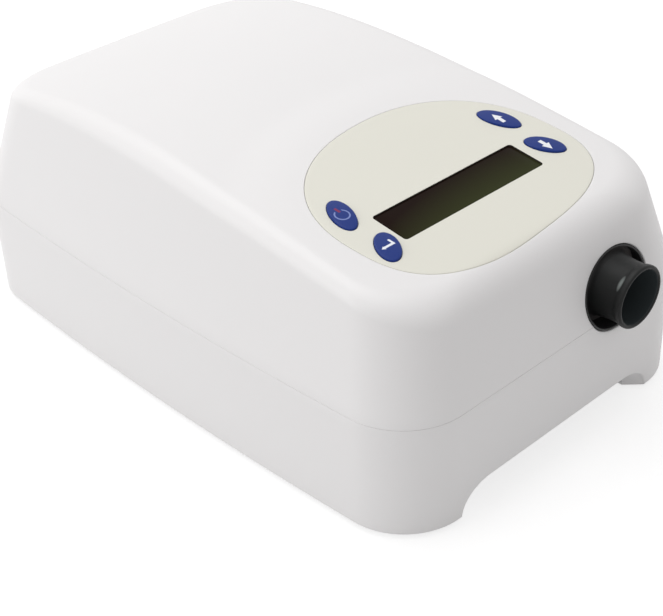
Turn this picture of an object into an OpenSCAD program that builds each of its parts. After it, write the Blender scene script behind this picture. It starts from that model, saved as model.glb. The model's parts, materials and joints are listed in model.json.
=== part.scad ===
// Bedside breathing-therapy air machine.
// A two-part moulded casing round a centrifugal blower, with a sloping display panel,
// four keys, a 22 mm air outlet at the front and the air and power inlets at the back.
// X runs to the right, Y to the back and Z up. The machine stands on z = 0, and the
// origin is under the middle of its outer box.

/* [Casing] */
// Width of the casing at its front and back corners
case_w = 142; // [138:1:148]
// How far each long side bows out at its middle
side_bow = 4.2; // [0:0.1:6]
// Length of the casing from front to back
case_l = 231; // [228:1:242]
// Radius of the upright corners, seen from above
corner_r = 22.5; // [18:0.5:26]
// Thickness of the moulded walls
wall = 2.6; // [2.2:0.1:3]
// Height of the seam between the two halves
seam_z = 41; // [39:0.5:44]
// Visible width of the seam
seam_gap = 0.4; // [0.2:0.1:0.8]
// Height of the lip that locates the upper half on the lower half
lip_h = 3; // [2:0.5:4]
// Inward lean of the walls above the seam, as width lost per height
lean = 0.25; // [0.2:0.01:0.3]
// Fillet between a long side and the top
side_fillet = 7.5; // [6:0.5:9]
// Fillet between the front and the top
front_fillet = 12.2; // [10:0.2:14]
// Fillet between the back and the top
back_fillet = 8.5; // [7:0.5:10]
// Fillet round the bottom edge
bottom_fillet = 1; // [0.6:0.2:2]

/* [Top surface] */
// Height of the top surface, carried on to the front end
top_front = 75.3; // [74:0.1:77]
// Height of the top surface at the middle
top_mid = 88.3; // [87:0.1:92]
// Height of the top surface, carried on to the back end
top_back = 78.6; // [77:0.1:82]
// How much fuller the back half of the top is than the front half
top_swell = 7.9; // [4:0.1:9]
// Rise of the top from its sides to its middle
top_crown = 0.3; // [0:0.1:1.5]
// Extra fall of the two back corners
back_drop = 1.1; // [0:0.1:2]

/* [Underside] */
// Width of the arch under the casing
arch_w = 94; // [88:1:96]
// Height of the arch under the casing
arch_h = 9.5; // [8:0.5:10]
// Length of the arch's curved ends, seen from the front
arch_run = 13; // [10:0.5:15]
// How much the feet widen behind the front and the back face
foot_flare = 5; // [3:0.5:6]
// Radius of a rubber foot
foot_r = 6; // [5:0.5:6.5]
// How far a rubber foot stands below the casing
foot_h = 1.2; // [0.8:0.1:2]
// Depth of the seat that a rubber foot is glued into
foot_seat = 0.8; // [0.5:0.1:1.2]
// Distance of the feet from the long sides
foot_side = 12; // [11:0.5:14]
// Distance of the feet from the front and the back
foot_end = 16.5; // [15.5:0.5:19.5]

/* [Panel] */
// Width of the oval face plate
panel_w = 101.5; // [100:0.5:104]
// Reach of the face plate in front of its widest line
panel_front = 34; // [33:0.2:35]
// Reach of the face plate behind its widest line
panel_rear = 43.2; // [42:0.2:44.6]
// Thickness of the face plate
overlay_t = 0.8; // [0.6:0.1:1]
// Fullness of the face plate's front half, where 2 is an ellipse
front_power = 2.8; // [2.4:0.1:3]
// Fullness of the face plate's back half
back_power = 2.2; // [2:0.1:2.4]
// Turn of the face plate in degrees, its right end to the back
panel_turn = 5; // [3:0.5:6]
// Forward slope of the panel in degrees
panel_tilt = 8; // [7:0.5:9]
// Distance of the display centre behind the front
display_in = 44.3; // [43.5:0.1:46.5]
// Height of the panel at the display centre
display_z = 80.3; // [80:0.1:82]
// Width of the display window
window_w = 64.5; // [60:0.5:65]
// Height of the display window
window_h = 14.4; // [12:0.2:16]
// Thickness of the clear window
lens_t = 1.6; // [1:0.1:1.8]
// Thickness of the display module
display_t = 5; // [4:0.5:5.5]

/* [Keys] */
// Length of the two rear keys
rear_key_l = 16; // [15:0.2:16.8]
// Length of the two front keys
front_key_l = 14.4; // [13.4:0.2:15.2]
// Width of an oval key
key_w = 8; // [7.4:0.2:8.6]
// How far a key stands above the face plate
key_proud = 0.9; // [0.7:0.1:1.2]
// How far a key travels
key_travel = 0.6; // [0.4:0.1:0.7]
// Gap all round a key
key_gap = 0.3; // [0.25:0.05:0.5]
// Turn of the two rear keys from straight fore and aft
rear_key_turn = 20.5; // [18:0.5:24]
// Turn of the two front keys from straight fore and aft
front_key_turn = 30.5; // [27:0.5:34]

/* [Air outlet] */
// Outer diameter of the outlet spigot, the standard 22 mm taper's large end
spigot_d = 22; // [21:0.5:23]
// Inner diameter of the outlet spigot
spigot_bore = 18; // [17:0.5:19]
// How far the spigot stands out in front of the casing
spigot_out = 7.5; // [6:0.5:12]
// Distance of the outlet from the middle, to the right
outlet_x = 28; // [26:0.5:30]
// Height of the outlet above the casing's bottom
outlet_z = 49; // [48:0.5:50]
// Diameter of the round hole in the casing
outlet_hole_d = 29.8; // [29:0.2:32]
// Depth of the cup round the spigot
cup_depth = 6; // [4:0.5:7]

/* [Blower] */
// Distance of the blower's axis behind the middle
fan_y = 26; // [24:0.5:28]
// Diameter of the impeller
impeller_d = 52; // [48:1:54]
// Height of the impeller
impeller_h = 9.7; // [8:0.1:10.5]
// Number of impeller blades
blade_count = 9; // [7:1:11]
// Least gap between the impeller and the spiral wall
volute_gap = 3; // [2:0.5:3.5]
// Wall thickness of the spiral housing
volute_wall = 2; // [1.6:0.1:2.4]
// Diameter of the hole that air enters the impeller through
eye_d = 25; // [22:1:27]
// Diameter of the motor shaft
shaft_d = 3; // [2.5:0.1:4]
// Diameter of the motor can
motor_d = 38; // [36:1:40]
// Length of the motor can
motor_l = 20.5; // [20:0.5:22]
// Thickness of the impeller's blades
blade_t = 1.2; // [1:0.1:1.6]
// Outer diameter of the shaft bearings
bearing_d = 10; // [9:0.5:11]
// Height of the shaft bearings
bearing_h = 4; // [3:0.5:4]
// Running clearance of the shaft in its bearings
shaft_gap = 0.03; // [0.02:0.01:0.08]

/* [Air inlet] */
// Distance of the filter from the middle, to the left
filter_x = 18; // [16:1:20]
// Height of the filter's middle
filter_z = 26.5; // [26:0.5:28]
// Width of the filter
filter_w = 44; // [40:1:46]
// Height of the filter
filter_h = 20; // [18:1:22]
// Thickness of the filter
filter_t = 7; // [5:0.5:8]

/* [Power inlet] */
// Distance of the power inlet from the middle, to the right
socket_x = 45; // [42:1:47]
// Height of the power inlet
socket_z = 25; // [22:0.5:28]
// Diameter of the round mouth of the power inlet
socket_bore = 6; // [5.7:0.1:6.4]
// Diameter of the centre pin
pin_d = 2.5; // [2:0.1:2.6]
// Length of the centre pin
pin_l = 8.5; // [7:0.5:9]

/* [Fastening] */
// Distance of the casing screws from the long sides
screw_side = 18; // [17:0.5:19]
// Distance of the casing screws from the front and the back
screw_end = 29.5; // [27.5:0.5:31.5]
// Diameter of a casing screw
screw_d = 3; // [2.5:0.1:3.5]
// Diameter of a small board screw
board_screw_d = 2.5; // [2:0.1:2.6]
// Clearance between a part and the seat that it drops into
fit_gap = 0.15; // [0.1:0.05:0.25]

/* [Hidden] */
$fn = 48;
tiny = 0.01;
// Length of a cut that has to pass right through what it cuts
through = 20;

// Everything is drawn about the middle of the casing, with the casing's bottom at zero,
// and this puts the origin under the middle of the outer box, on the feet.
module placed() translate([0, spigot_out / 2, foot_h]) children();

// ---------------------------------------------------------------- small helpers
function lerp(a, b, t) = a + (b - a) * t;
function clamp01(t) = max(0, min(1, t));
function ease(t) = let(c = clamp01(t)) c * c * (3 - 2 * c);
// A closed oval of n points
function oval(a, b, n) = [for (i = [0:n - 1]) [a * cos(360 * i / n), b * sin(360 * i / n)]];
module along_y() rotate([-90, 0, 0]) children();
module at_corners(x, y) for (sx = [-1, 1], sy = [-1, 1]) translate([sx * x, sy * y, 0]) children();
module rounded_rect(w, h, r) {
    square([w - 2 * r, h], center = true);
    square([w, h - 2 * r], center = true);
    at_corners(w / 2 - r, h / 2 - r) circle(r);
}
module tube(r_out, r_in, h) difference() {
    cylinder(r = r_out, h = h);
    translate([0, 0, -1]) cylinder(r = r_in, h = h + 2);
}
// A pan-head screw that points down from z = 0, its head above
module screw(d, l) {
    translate([0, 0, -l]) cylinder(d = d, h = l + tiny);
    difference() {
        cylinder(d = 1.9 * d, h = 0.6 * d);
        translate([0, 0, 0.35 * d]) cylinder(d = d, h = d, $fn = 6);
    }
}

// ---------------------------------------------------------------- casing surface
// The plan is a rounded rectangle. Each point has a place on the inner core rectangle
// (first two numbers, from -1 to 1) and an outward direction (last two).
side_n = 8;
end_n = 6;
corner_n = 7;
core = concat(
    [for (i = [0:side_n - 1]) [1, 2 * i / side_n - 1, 1, 0]],
    [for (i = [0:corner_n - 1]) let(t = 90 * i / corner_n) [1, 1, cos(t), sin(t)]],
    [for (i = [0:end_n - 1]) [1 - 2 * i / end_n, 1, 0, 1]],
    [for (i = [0:corner_n - 1]) let(t = 90 + 90 * i / corner_n) [-1, 1, cos(t), sin(t)]],
    [for (i = [0:side_n - 1]) [-1, 1 - 2 * i / side_n, -1, 0]],
    [for (i = [0:corner_n - 1]) let(t = 180 + 90 * i / corner_n) [-1, -1, cos(t), sin(t)]],
    [for (i = [0:end_n - 1]) [2 * i / end_n - 1, -1, 0, -1]],
    [for (i = [0:corner_n - 1]) let(t = 270 + 90 * i / corner_n) [1, -1, cos(t), sin(t)]]);
half_w = case_w / 2;
half_l = case_l / 2;
foot_x = half_w - foot_side;
foot_y = half_l - foot_end;
screw_x = half_w - screw_side;
screw_y = half_l - screw_end;
display_y = half_l - display_in;

// A plan point at a given inset and corner radius, with the bow of the long sides
function plan(c, inset, r) = let(
    x = c[0] * (half_w - inset - r) + r * c[2],
    y = c[1] * (half_l - inset - r) + r * c[3])
    [x + x / half_w * side_bow * (1 - pow(y / half_l, 2)), y];

// Height of the top surface: a cubic along the length, a slight crown across it,
// and a flat under the face plate that blends out round it
panel_x = 1.8;
panel_back = 4.1;
panel_cy = -display_y + panel_back;
function arch_top(x, y) = let(u = y / half_l, v = x / half_w, d = clamp01((u - 0.55) / 0.45))
    top_mid + (top_back - top_front) / 2 * u + ((top_back + top_front) / 2 - top_mid) * u * u
    - top_swell * (u * u * u - u) + top_crown * (1 - v * v) - back_drop * d * d * v * v;
function panel_top(y) = display_z + tan(panel_tilt) * (y + display_y);
function panel_rho(x, y) = let(
    dx = x - panel_x,
    dy = y - panel_cy,
    across = dx * cos(panel_turn) + dy * sin(panel_turn),
    along = dy * cos(panel_turn) - dx * sin(panel_turn),
    p = along < 0 ? front_power : back_power,
    reach = along < 0 ? panel_front : panel_rear)
    pow(pow(abs(across) / (panel_w / 2), p) + pow(abs(along) / reach, p), 1 / p);
flat_margin = 0.06;
blend_width = 0.5;
function case_top(x, y) = lerp(panel_top(y), arch_top(x, y),
    ease((panel_rho(x, y) - 1 - flat_margin) / blend_width));

// The upright section at each plan point: a leaning wall, an arc and the top surface.
// It gives the arc's radius, the height and inset of its centre, and its two end angles.
lean_len = sqrt(1 + lean * lean);
function section(c) = let(
    r = side_fillet * c[2] * c[2] + (c[3] < 0 ? front_fillet : back_fillet) * c[3] * c[3],
    ridge = plan(c, lean * seam_z, corner_r),
    inset = lean * (case_top(ridge[0], ridge[1]) - seam_z - 0.3 * r) + r,
    p = plan(c, inset, corner_r),
    q = plan(c, inset + 1, corner_r),
    zp = case_top(p[0], p[1]),
    m = zp - case_top(q[0], q[1]),
    zc = (zp + m * (inset + lean * seam_z - r * lean_len) - r * sqrt(1 + m * m)) / (1 + m * lean),
    ic = lean * (zc - seam_z) + r * lean_len)
    [r, zc, ic, atan(lean), atan2(1, -m)];
sections = [for (c = core) section(c)];

// Rings of points, each moved inwards by off to make the inner face of the wall
function arc_pt(i, k, off) = let(
    s = sections[i],
    a = lerp(s[3], s[4], k),
    p = plan(core[i], s[2] - (s[0] - off) * cos(a), corner_r - off * cos(a)))
    [p[0], p[1], s[1] + (s[0] - off) * sin(a)];
function ring_arc(k, off) = [for (i = [0:len(core) - 1]) arc_pt(i, k, off)];
function ring_top(u, off) = [for (i = [0:len(core) - 1]) let(
    e = arc_pt(i, 1, off),
    x = e[0] * u,
    y = e[1] * u,
    rest = e[2] - case_top(e[0], e[1]) + off)
    [x, y, case_top(x, y) - off + rest * pow(u, 6)]];
function ring_wall(t, off) = [for (i = [0:len(core) - 1]) let(
    z = lerp(seam_z, arc_pt(i, 0, off)[2], t),
    p = plan(core[i], lean * (z - seam_z) + off * lean_len, corner_r - off * lean_len))
    [p[0], p[1], z]];
function ring_level(z, off) = [for (c = core) let(
    p = plan(c, lean * max(0, z - seam_z) + off, corner_r - off)) [p[0], p[1], z]];
// The bottom edge's ring at angle a up its fillet, where 0 is on the bottom
function ring_foot(a) = [for (c = core) let(
    p = plan(c, bottom_fillet * (1 - sin(a)), corner_r - bottom_fillet * (1 - sin(a))))
    [p[0], p[1], bottom_fillet * (1 - cos(a))]];

// A closed skin over a list of rings, with a point at each end
module loft(first, rings, last, flip = false) {
    n = len(rings[0]);
    m = len(rings);
    pts = concat([first], [for (r = rings) each r], [last]);
    tris = concat(
        [for (i = [0:n - 1]) [0, 1 + (i + 1) % n, 1 + i]],
        [for (k = [0:m - 2], i = [0:n - 1]) let(a = 1 + k * n + i, b = 1 + k * n + (i + 1) % n)
            each [[a, b, a + n], [b, b + n, a + n]]],
        [for (i = [0:n - 1]) [1 + (m - 1) * n + i, 1 + (m - 1) * n + (i + 1) % n, 1 + m * n]]);
    polyhedron(pts, flip ? [for (t = tris) [t[0], t[2], t[1]]] : tris, convexity = 8);
}

// ---------------------------------------------------------------- shared places
arch_r = arch_h;
floor_z = arch_h + wall;
deck_z = arch_h + wall / 2;
lip_gap = 0.15;
lip_in = wall / 2 + lip_gap / 2;
lip_out = wall / 2 - lip_gap / 2;
boss_seat = 28;
boss_r = 5;
upper_boss_r = 4.5;
boss_hole = 14;
case_screw_l = 25;
screw_head_r = 1.1 * screw_d;
spigot_tip = -(half_l + spigot_out);
// Where the front wall's outer face is at the outlet's height, and at the hole's top
function front_at(z) = -half_l + lean * max(0, z - seam_z);
hole_r = outlet_hole_d / 2;
cup_floor = front_at(outlet_z) + cup_depth;
cup_t = 2.4;
cup_gap = 0.1;
lining_t = 0.8;
lining_r = hole_r - fit_gap - lining_t;
grommet_flange_r = hole_r + 2.4;
grommet_flange_t = 1.6;
grommet_flange_y = front_at(outlet_z + grommet_flange_r) + wall * lean_len + fit_gap;
spigot_root = 23.5;
spigot_back = cup_floor + spigot_root;
air_r = spigot_d / 2;
bore_r = spigot_bore / 2;

// Key centres from the display centre, on the panel: rear and front left, rear and front right
keys = [[-39.4, 14], [-39.9, -6.2], [41, 19.9], [41.2, -0.3]];
function is_rear(k) = k % 2 == 0;
function key_l(k) = is_rear(k) ? rear_key_l : front_key_l;
function key_turn(k) = sign(keys[k][0]) * (is_rear(k) ? rear_key_turn : front_key_turn);
under_plate = wall + 0.3;
flange_lap = 0.8;
flange_w = 3.6;
flange_t = 1;
stem_r = 1.8;
stem_end = 7.4;
switch_gap = key_travel + 0.1;
switch_h = 3.5;
board_t = 1.6;
board_top = stem_end + switch_gap + switch_h;
board_w = 93;
board_front = -19;
board_back = 29;
post_x = 30;
post_front = -15;
post_back = 25;
post_hole = 7;
display_post_r = 3;
// The back posts stand aside for the rear left key and for the ribbon's notch
post_out = 12;
post_inward = 3;
lens_ledge = 1.3;
lens_corner = 0.8;
window_corner = 0.6;
glass_sink = 0.4;
notch_x = -2;
notch_w = 22;
notch_l = 12;
switch_w = 6;
plunger_h = 0.8;
plunger_r = 1.7;
display_screw_l = 6;
module on_panel() translate([0, -display_y, display_z]) rotate([panel_tilt, 0, 0]) children();
module at_key(k) translate([keys[k][0], keys[k][1], 0]) rotate([0, 0, key_turn(k)]) children();
module display_posts() {
    for (s = [-1, 1]) translate([s * post_x, post_front, 0]) children();
    translate([-post_x - post_out, post_back, 0]) children();
    translate([post_x - post_inward, post_back, 0]) children();
}

// ---------------------------------------------------------------- casing
filter_corner = 3;
frame_t = 2;
frame_in = 8.6;
cover_t = 2;
cover_rim = 3.7;
socket_r = 5.4;
socket_rim = 3;
socket_collar = 4;
lugs = [45, 150, 270];
lug_top = 36;
lug_hole = 12;
lug_gap = 0.5;
post_r = 3.5;
board_z = 17;
post_floor = 0.6;
main_w = 86;
main_l = 74;
main_in = 11.5;
main_x = -3;
main_y = -half_l + main_in + main_l / 2;
main_post_in = 4;
main_post_x = main_w / 2 - main_post_in;
main_post_y = main_l / 2 - main_post_in;
grommet_r = 6.2;
function spiral_at(a) = lerp(spiral_r, spiral_end, (360 - a) / 360) + volute_wall;
function lug_r(a) = spiral_at(a) + grommet_r + lug_gap;
module at_lugs() for (a = lugs) translate([fan_x, fan_y, 0]) rotate([0, 0, a])
    translate([lug_r(a), 0, 0]) children();
module at_main_posts() translate([main_x, main_y, 0]) at_corners(main_post_x, main_post_y) children();
module arch_outline(grow) {
    w = arch_w / 2 + grow;
    h = arch_h + grow;
    r = arch_r + grow;
    intersection() {
        union() {
            translate([-w + r, -1]) square([2 * (w - r), h + 1]);
            for (s = [-1, 1]) translate([s * (w - r), h - r]) circle(r);
        }
        translate([-w, wall / 2]) square([2 * w, 2 * h]);
    }
}
// Space under the casing: an arch that is wider at the front and back faces than between them
function arch_ring(y, narrower) = let(w = arch_w / 2 - narrower) concat(
    [[w, y, -1]],
    [for (a = [0:10:90]) [w - arch_run * (1 - cos(a)), y, arch_h * sin(a)]],
    [for (a = [90:-10:0]) [arch_run * (1 - cos(a)) - w, y, arch_h * sin(a)]],
    [[-w, y, -1]]);
module arch_space() {
    loft([0, -half_l - 1, 0],
        [arch_ring(-half_l - 1, 0), arch_ring(-half_l, 0), arch_ring(foot_flare - half_l, foot_flare),
         arch_ring(half_l - foot_flare, foot_flare), arch_ring(half_l, 0), arch_ring(half_l + 1, 0)],
        [0, half_l + 1, 0]);
}
module outlet_hole() at_outlet(-half_l - 1) cylinder(r = hole_r, h = through);
module filter_rect(grow) rounded_rect(filter_w + 2 * grow, filter_h + 2 * grow, filter_corner + grow);
module at_filter(y) translate([-filter_x, y, filter_z]) rotate([90, 0, 0]) children();

module lower_shell() {
    loft([0, 0, 0],
        concat([[for (p = ring_foot(0)) [p[0] / 2, p[1] / 2, 0]]],
            [for (a = [0:30:90]) ring_foot(a)],
            [ring_level(seam_z - seam_gap / 2, 0), ring_level(seam_z - seam_gap / 2, lip_in),
             ring_level(seam_z + lip_h, lip_in), ring_level(seam_z + lip_h, wall + lip_gap),
             ring_level(seam_z - lip_h, wall), ring_level(wall, wall)]),
        [0, 0, wall], flip = true);
}

module lower_casing() color("#E4E4E6") placed() difference() {
    union() {
        lower_shell();
        // bridge over the arch, let into the front and back walls
        translate([0, -half_l + wall / 2, 0]) along_y_profile(case_l - wall) arch_outline(wall);
        at_corners(screw_x, screw_y) translate([0, 0, wall / 2])
            cylinder(r = boss_r, h = seam_z - seam_gap - wall / 2);
        at_lugs() translate([0, 0, deck_z]) cylinder(r = post_r, h = lug_top - deck_z);
        at_main_posts() translate([0, 0, deck_z]) cylinder(r = post_r, h = board_z - deck_z);
        at_filter(half_l - wall / 2) linear_extrude(frame_in) filter_rect(frame_t);
        at_socket(half_l - wall / 2) cylinder(r = socket_r + socket_rim, h = socket_collar);
    }
    arch_space();
    at_corners(screw_x, screw_y) {
        translate([0, 0, -1]) cylinder(r = screw_head_r, h = boss_seat + 1);
        cylinder(r = screw_d / 2 + fit_gap, h = seam_z + through);
    }
    at_corners(foot_x, foot_y) translate([0, 0, -1]) cylinder(r = foot_r + fit_gap, h = foot_seat + 1);
    at_lugs() translate([0, 0, lug_top - lug_hole]) cylinder(d = screw_d, h = through);
    at_main_posts() translate([0, 0, floor_z + post_floor]) cylinder(d = board_screw_d, h = through);
    outlet_hole();
    at_filter(half_l + 1) linear_extrude(wall + frame_in + 1) filter_rect(0);
    at_filter(half_l + 1) linear_extrude(1 + cover_t) filter_rect(cover_rim);
    at_socket(half_l + 1) cylinder(r = socket_r + fit_gap, h = through);
}
// A profile drawn in X and Z, carried along Y
module along_y_profile(l) translate([0, l, 0]) rotate([90, 0, 0]) linear_extrude(l) children();

module upper_shell() {
    tops = [0.14, 0.3, 0.46, 0.62, 0.76, 0.89];
    z0 = seam_z + seam_gap / 2;
    loft([0, 0, case_top(0, 0)],
        concat([for (u = tops) ring_top(u, 0)],
            [for (k = [6:-1:0]) ring_arc(k / 6, 0)],
            [ring_wall(0.66, 0), ring_wall(0.33, 0)],
            [ring_level(z0, 0), ring_level(z0, lip_out),
             ring_level(z0 + lip_h + 0.2, lip_out), ring_level(z0 + lip_h + 0.2, wall)],
            [ring_wall(0.5, wall)],
            [for (k = [0:4]) ring_arc(k / 4, wall)],
            [for (k = [5:-1:0]) ring_top(tops[k], wall)]),
        [0, 0, case_top(0, 0) - wall]);
}
module upper_casing() color("#F0F0F2") placed() difference() {
    union() {
        upper_shell();
        for (x = [-screw_x, screw_x], y = [-screw_y, screw_y]) translate([x, y, seam_z + seam_gap])
            cylinder(r = upper_boss_r, h = case_top(x, y) - wall / 2 - seam_z - seam_gap);
        on_panel() display_posts() translate([0, 0, -board_top])
            cylinder(r = display_post_r, h = board_top - wall / 2);
    }
    at_corners(screw_x, screw_y) translate([0, 0, seam_z - 1]) cylinder(d = screw_d, h = boss_hole + 1);
    outlet_hole();
    on_panel() {
        translate([0, 0, -overlay_t]) linear_extrude(through) plate_outline(fit_gap);
        translate([0, 0, -through / 2]) linear_extrude(through) lens_outline(lens_ledge);
        for (k = [0:3]) at_key(k) translate([0, 0, -through / 2]) linear_extrude(through)
            key_outline(k, key_gap);
        display_posts() translate([0, 0, -board_top - 1]) cylinder(d = board_screw_d, h = post_hole);
    }
}

module rubber_feet() color("#2C2C2E") placed() at_corners(foot_x, foot_y)
    translate([0, 0, -foot_h]) cylinder(r = foot_r, h = foot_h + foot_seat);
module case_screws() color("#B8BABD") placed() at_corners(screw_x, screw_y)
    translate([0, 0, boss_seat]) rotate([180, 0, 0]) screw(screw_d, case_screw_l);

// ---------------------------------------------------------------- panel and keys
module key_outline(k, grow) polygon(oval(key_w / 2 + grow, key_l(k) / 2 + grow, 40));
// Outline of the clear window's ledge, grown past the opening in the face plate
module lens_outline(ledge) rounded_rect(window_w + 2 * ledge, window_h + 2 * ledge, lens_corner);
// Egg-shaped outline of the face plate: a fuller curve in front of its widest line
plate_points = 48;
module plate_outline(grow) translate([panel_x, panel_back / cos(panel_tilt)]) rotate(panel_turn)
    polygon([for (i = [0:plate_points - 1]) let(
        t = 360 * i / plate_points,
        power = sin(t) < 0 ? front_power : back_power,
        reach = sin(t) < 0 ? panel_front : panel_rear)
        [(panel_w / 2 + grow) * sign(cos(t)) * pow(abs(cos(t)), 2 / power),
         (reach + grow) * sign(sin(t)) * pow(abs(sin(t)), 2 / power)]]);
module panel_overlay() color("#DEDED2") placed() on_panel() difference() {
    translate([0, 0, -overlay_t]) linear_extrude(overlay_t) plate_outline(0);
    translate([0, 0, -through / 2]) linear_extrude(through) rounded_rect(window_w, window_h, window_corner);
    for (k = [0:3]) at_key(k) translate([0, 0, -through / 2]) linear_extrude(through) key_outline(k, key_gap);
}
module display_lens() color("#3A3A30") placed() on_panel()
    translate([0, 0, -overlay_t - lens_t]) linear_extrude(lens_t) lens_outline(lens_ledge - fit_gap);
module lcd_module() color("#26261F") placed() on_panel()
    translate([0, 0, -under_plate - display_t]) difference() {
        linear_extrude(display_t) rounded_rect(window_w + 1.5, window_h + 6, lens_corner);
        // the glass lies sunk into the module's frame
        translate([0, 0, display_t - glass_sink]) linear_extrude(through)
            square([window_w - 2, window_h - 1], center = true);
    }
module display_board() color("#2F6B45") placed() on_panel() difference() {
    translate([0, 0, -board_top - board_t]) linear_extrude(board_t) difference() {
        translate([-board_w / 2, board_front]) square([board_w, board_back - board_front]);
        // notch that the ribbon comes up through
        translate([notch_x, board_back - notch_l]) square([notch_w, 2 * notch_l]);
    }
    display_posts() translate([0, 0, -board_top - board_t - 1])
        cylinder(d = board_screw_d + 2 * fit_gap, h = board_t + 2);
}
module tact_switches() color("#3C3C40") placed() on_panel() for (k = [0:3]) at_key(k) {
    translate([-switch_w / 2, -switch_w / 2, -board_top]) cube([switch_w, switch_w, switch_h - plunger_h]);
    translate([0, 0, -board_top]) cylinder(r = plunger_r, h = switch_h);
}
module display_screws() color("#B8BABD") placed() on_panel() display_posts()
    translate([0, 0, -board_top - board_t]) rotate([180, 0, 0]) screw(board_screw_d, display_screw_l);
// One key: an oval cap with a slightly domed face, a bar that stops it from falling out
// through the face plate, and a stem down to its switch
dome_r = 60;
module key(k) color("#28479A") placed() on_panel() at_key(k) {
    intersection() {
        translate([0, 0, -under_plate - tiny]) linear_extrude(under_plate + key_proud + 1) key_outline(k, 0);
        translate([0, 0, key_proud - dome_r]) sphere(r = dome_r, $fn = 96);
    }
    translate([-flange_w / 2, -key_l(k) / 2 - flange_lap, -under_plate - flange_t])
        cube([flange_w, key_l(k) + 2 * flange_lap, flange_t]);
    translate([0, 0, -stem_end]) cylinder(r = stem_r, h = stem_end - under_plate);
}
module power_button() key(0);
module enter_button() key(1);
module up_button() key(2);
module down_button() key(3);

// ---------------------------------------------------------------- air outlet
lip_round = 0.9;
flare = 2.8;
module at_outlet(y) translate([outlet_x, y, outlet_z]) along_y() children();
// Revolved about the outlet's axis: the tip is at zero and the back end at spigot_len
spigot_len = spigot_back - spigot_tip;
flare_at = cup_floor - spigot_tip;
module outlet_connector() color("#3A3A3C") placed() difference() {
    union() {
        at_outlet(spigot_tip) difference() {
            union() {
                translate([0, 0, lip_round]) cylinder(r = air_r, h = spigot_len - lip_round);
                rotate_extrude() {
                    square([air_r - lip_round, 2 * lip_round]);
                    translate([air_r - lip_round, lip_round]) circle(lip_round);
                }
                translate([0, 0, flare_at]) cylinder(r = lining_r - cup_gap, h = cup_t);
                // concave flare from the spigot into its flange
                translate([0, 0, flare_at - flare]) rotate_extrude() difference() {
                    translate([air_r - 1, 0]) square([flare + 1, flare + tiny]);
                    translate([air_r + flare, 0]) circle(flare);
                }
            }
            translate([0, 0, -1]) cylinder(r = bore_r, h = spigot_len + 2);
            translate([0, 0, -tiny]) cylinder(r1 = bore_r + mouth_bevel, r2 = bore_r, h = 1);
        }
        // nipple for the pressure tube
        translate([outlet_x, nipple_y, outlet_z - air_r - nipple_l]) cylinder(r = nipple_r, h = nipple_l + 1);
    }
    translate([outlet_x, nipple_y, outlet_z - air_r - nipple_l - 1])
        cylinder(r = nipple_bore, h = nipple_l + 5);
}
mouth_bevel = 0.8;
nipple_y = spigot_back - 12;
nipple_l = 5;
nipple_r = 1.6;
nipple_bore = 0.7;
module outlet_grommet() color("#1E1E20") placed() intersection() {
    at_outlet(-half_l - 1) rotate_extrude() {
        translate([lining_r, 0]) square([lining_t, grommet_flange_y + grommet_flange_t + half_l + 1]);
        translate([lining_r, grommet_flange_y + half_l + 1])
            square([grommet_flange_r - lining_r, grommet_flange_t]);
    }
    front_half_space();
}
// What lies behind the casing's outer face, at the front
module front_half_space() translate([-half_w, -half_l, seam_z]) {
    translate([0, 0, -seam_z]) cube([case_w, half_l, seam_z + tiny]);
    rotate([-atan(lean), 0, 0]) cube([case_w, half_l, seam_z]);
}
// Soft coupling between the blower and the outlet connector
exit_end = fan_y - 48;
duct_t = 2;
duct_lap = 6;
rib_count = 6;
rib_share = 0.3;
module outlet_duct() color("#D8DADC") placed() {
    a = spigot_back - duct_lap;
    l = exit_end + duct_lap - a;
    pitch = (l - 4 * duct_lap) / rib_count;
    at_outlet(a) rotate_extrude() {
        translate([air_r + fit_gap / 2, 0]) square([duct_t, l]);
        for (i = [0:rib_count - 1]) translate([air_r + duct_t, 2 * duct_lap + (i + 0.5) * pitch])
            circle(rib_share * pitch);
    }
}

// ---------------------------------------------------------------- blower
spiral_r = impeller_d / 2 + volute_gap;
// How far the outlet's bore reaches in over the spiral's start
tongue = 6;
fan_x = outlet_x - (spiral_r + bore_r - tongue);
exit_x = outlet_x - fan_x;
spiral_end = exit_x + bore_r;
volute_low = outlet_z - bore_r;
volute_high = outlet_z + bore_r;
volute_floor = volute_low - volute_wall;
// The spiral wall opens out evenly over one turn, clockwise from the outlet's side
function spiral(off, n = 60) = [for (i = [0:n]) let(
    t = 360 * i / n,
    r = lerp(spiral_r, spiral_end, i / n) + off)
    [r * cos(t), -r * sin(t)]];
press_gap = 0.02;
bearing_seat_r = bearing_d / 2 + press_gap;
hub_r = bearing_d / 2 + 2;
hub_drop = 2;
hub_over = 0.5;
upper_bearing_z = volute_floor;
lug_t = 3;
lug_hole_r = 4.5;
joint_screw_d = 2;
joint_lugs = [15, 105, 215, 290];
joint_in = 2.6;
joint_boss_r = 3.4;
joint_half = 3;
joint_hole = 2.6;
joint_slack = 0.2;
joint_screw_l = 5;
web_w = 8;
web_l = 12;
lug_rim = 0.8;
eye_rim = 4;
eye_rise = 3;
eye_round = 3;
module at_joints() for (a = joint_lugs) rotate([0, 0, a])
    translate([spiral_at(a) + joint_in, 0, 0]) children();
module volute_body() difference() {
    union() {
        translate([0, 0, volute_floor]) linear_extrude(volute_high - volute_low + 2 * volute_wall)
            polygon(spiral(volute_wall));
        at_volute_exit(0) cylinder(r = air_r, h = fan_y - exit_end);
        translate([0, 0, outlet_z - joint_half]) at_joints() cylinder(r = joint_boss_r, h = 2 * joint_half);
    }
    translate([0, 0, volute_low]) linear_extrude(volute_high - volute_low) polygon(spiral(0));
    at_volute_exit(0) translate([0, 0, -tiny]) cylinder(r = bore_r, h = fan_y - exit_end + 1);
}
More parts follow.
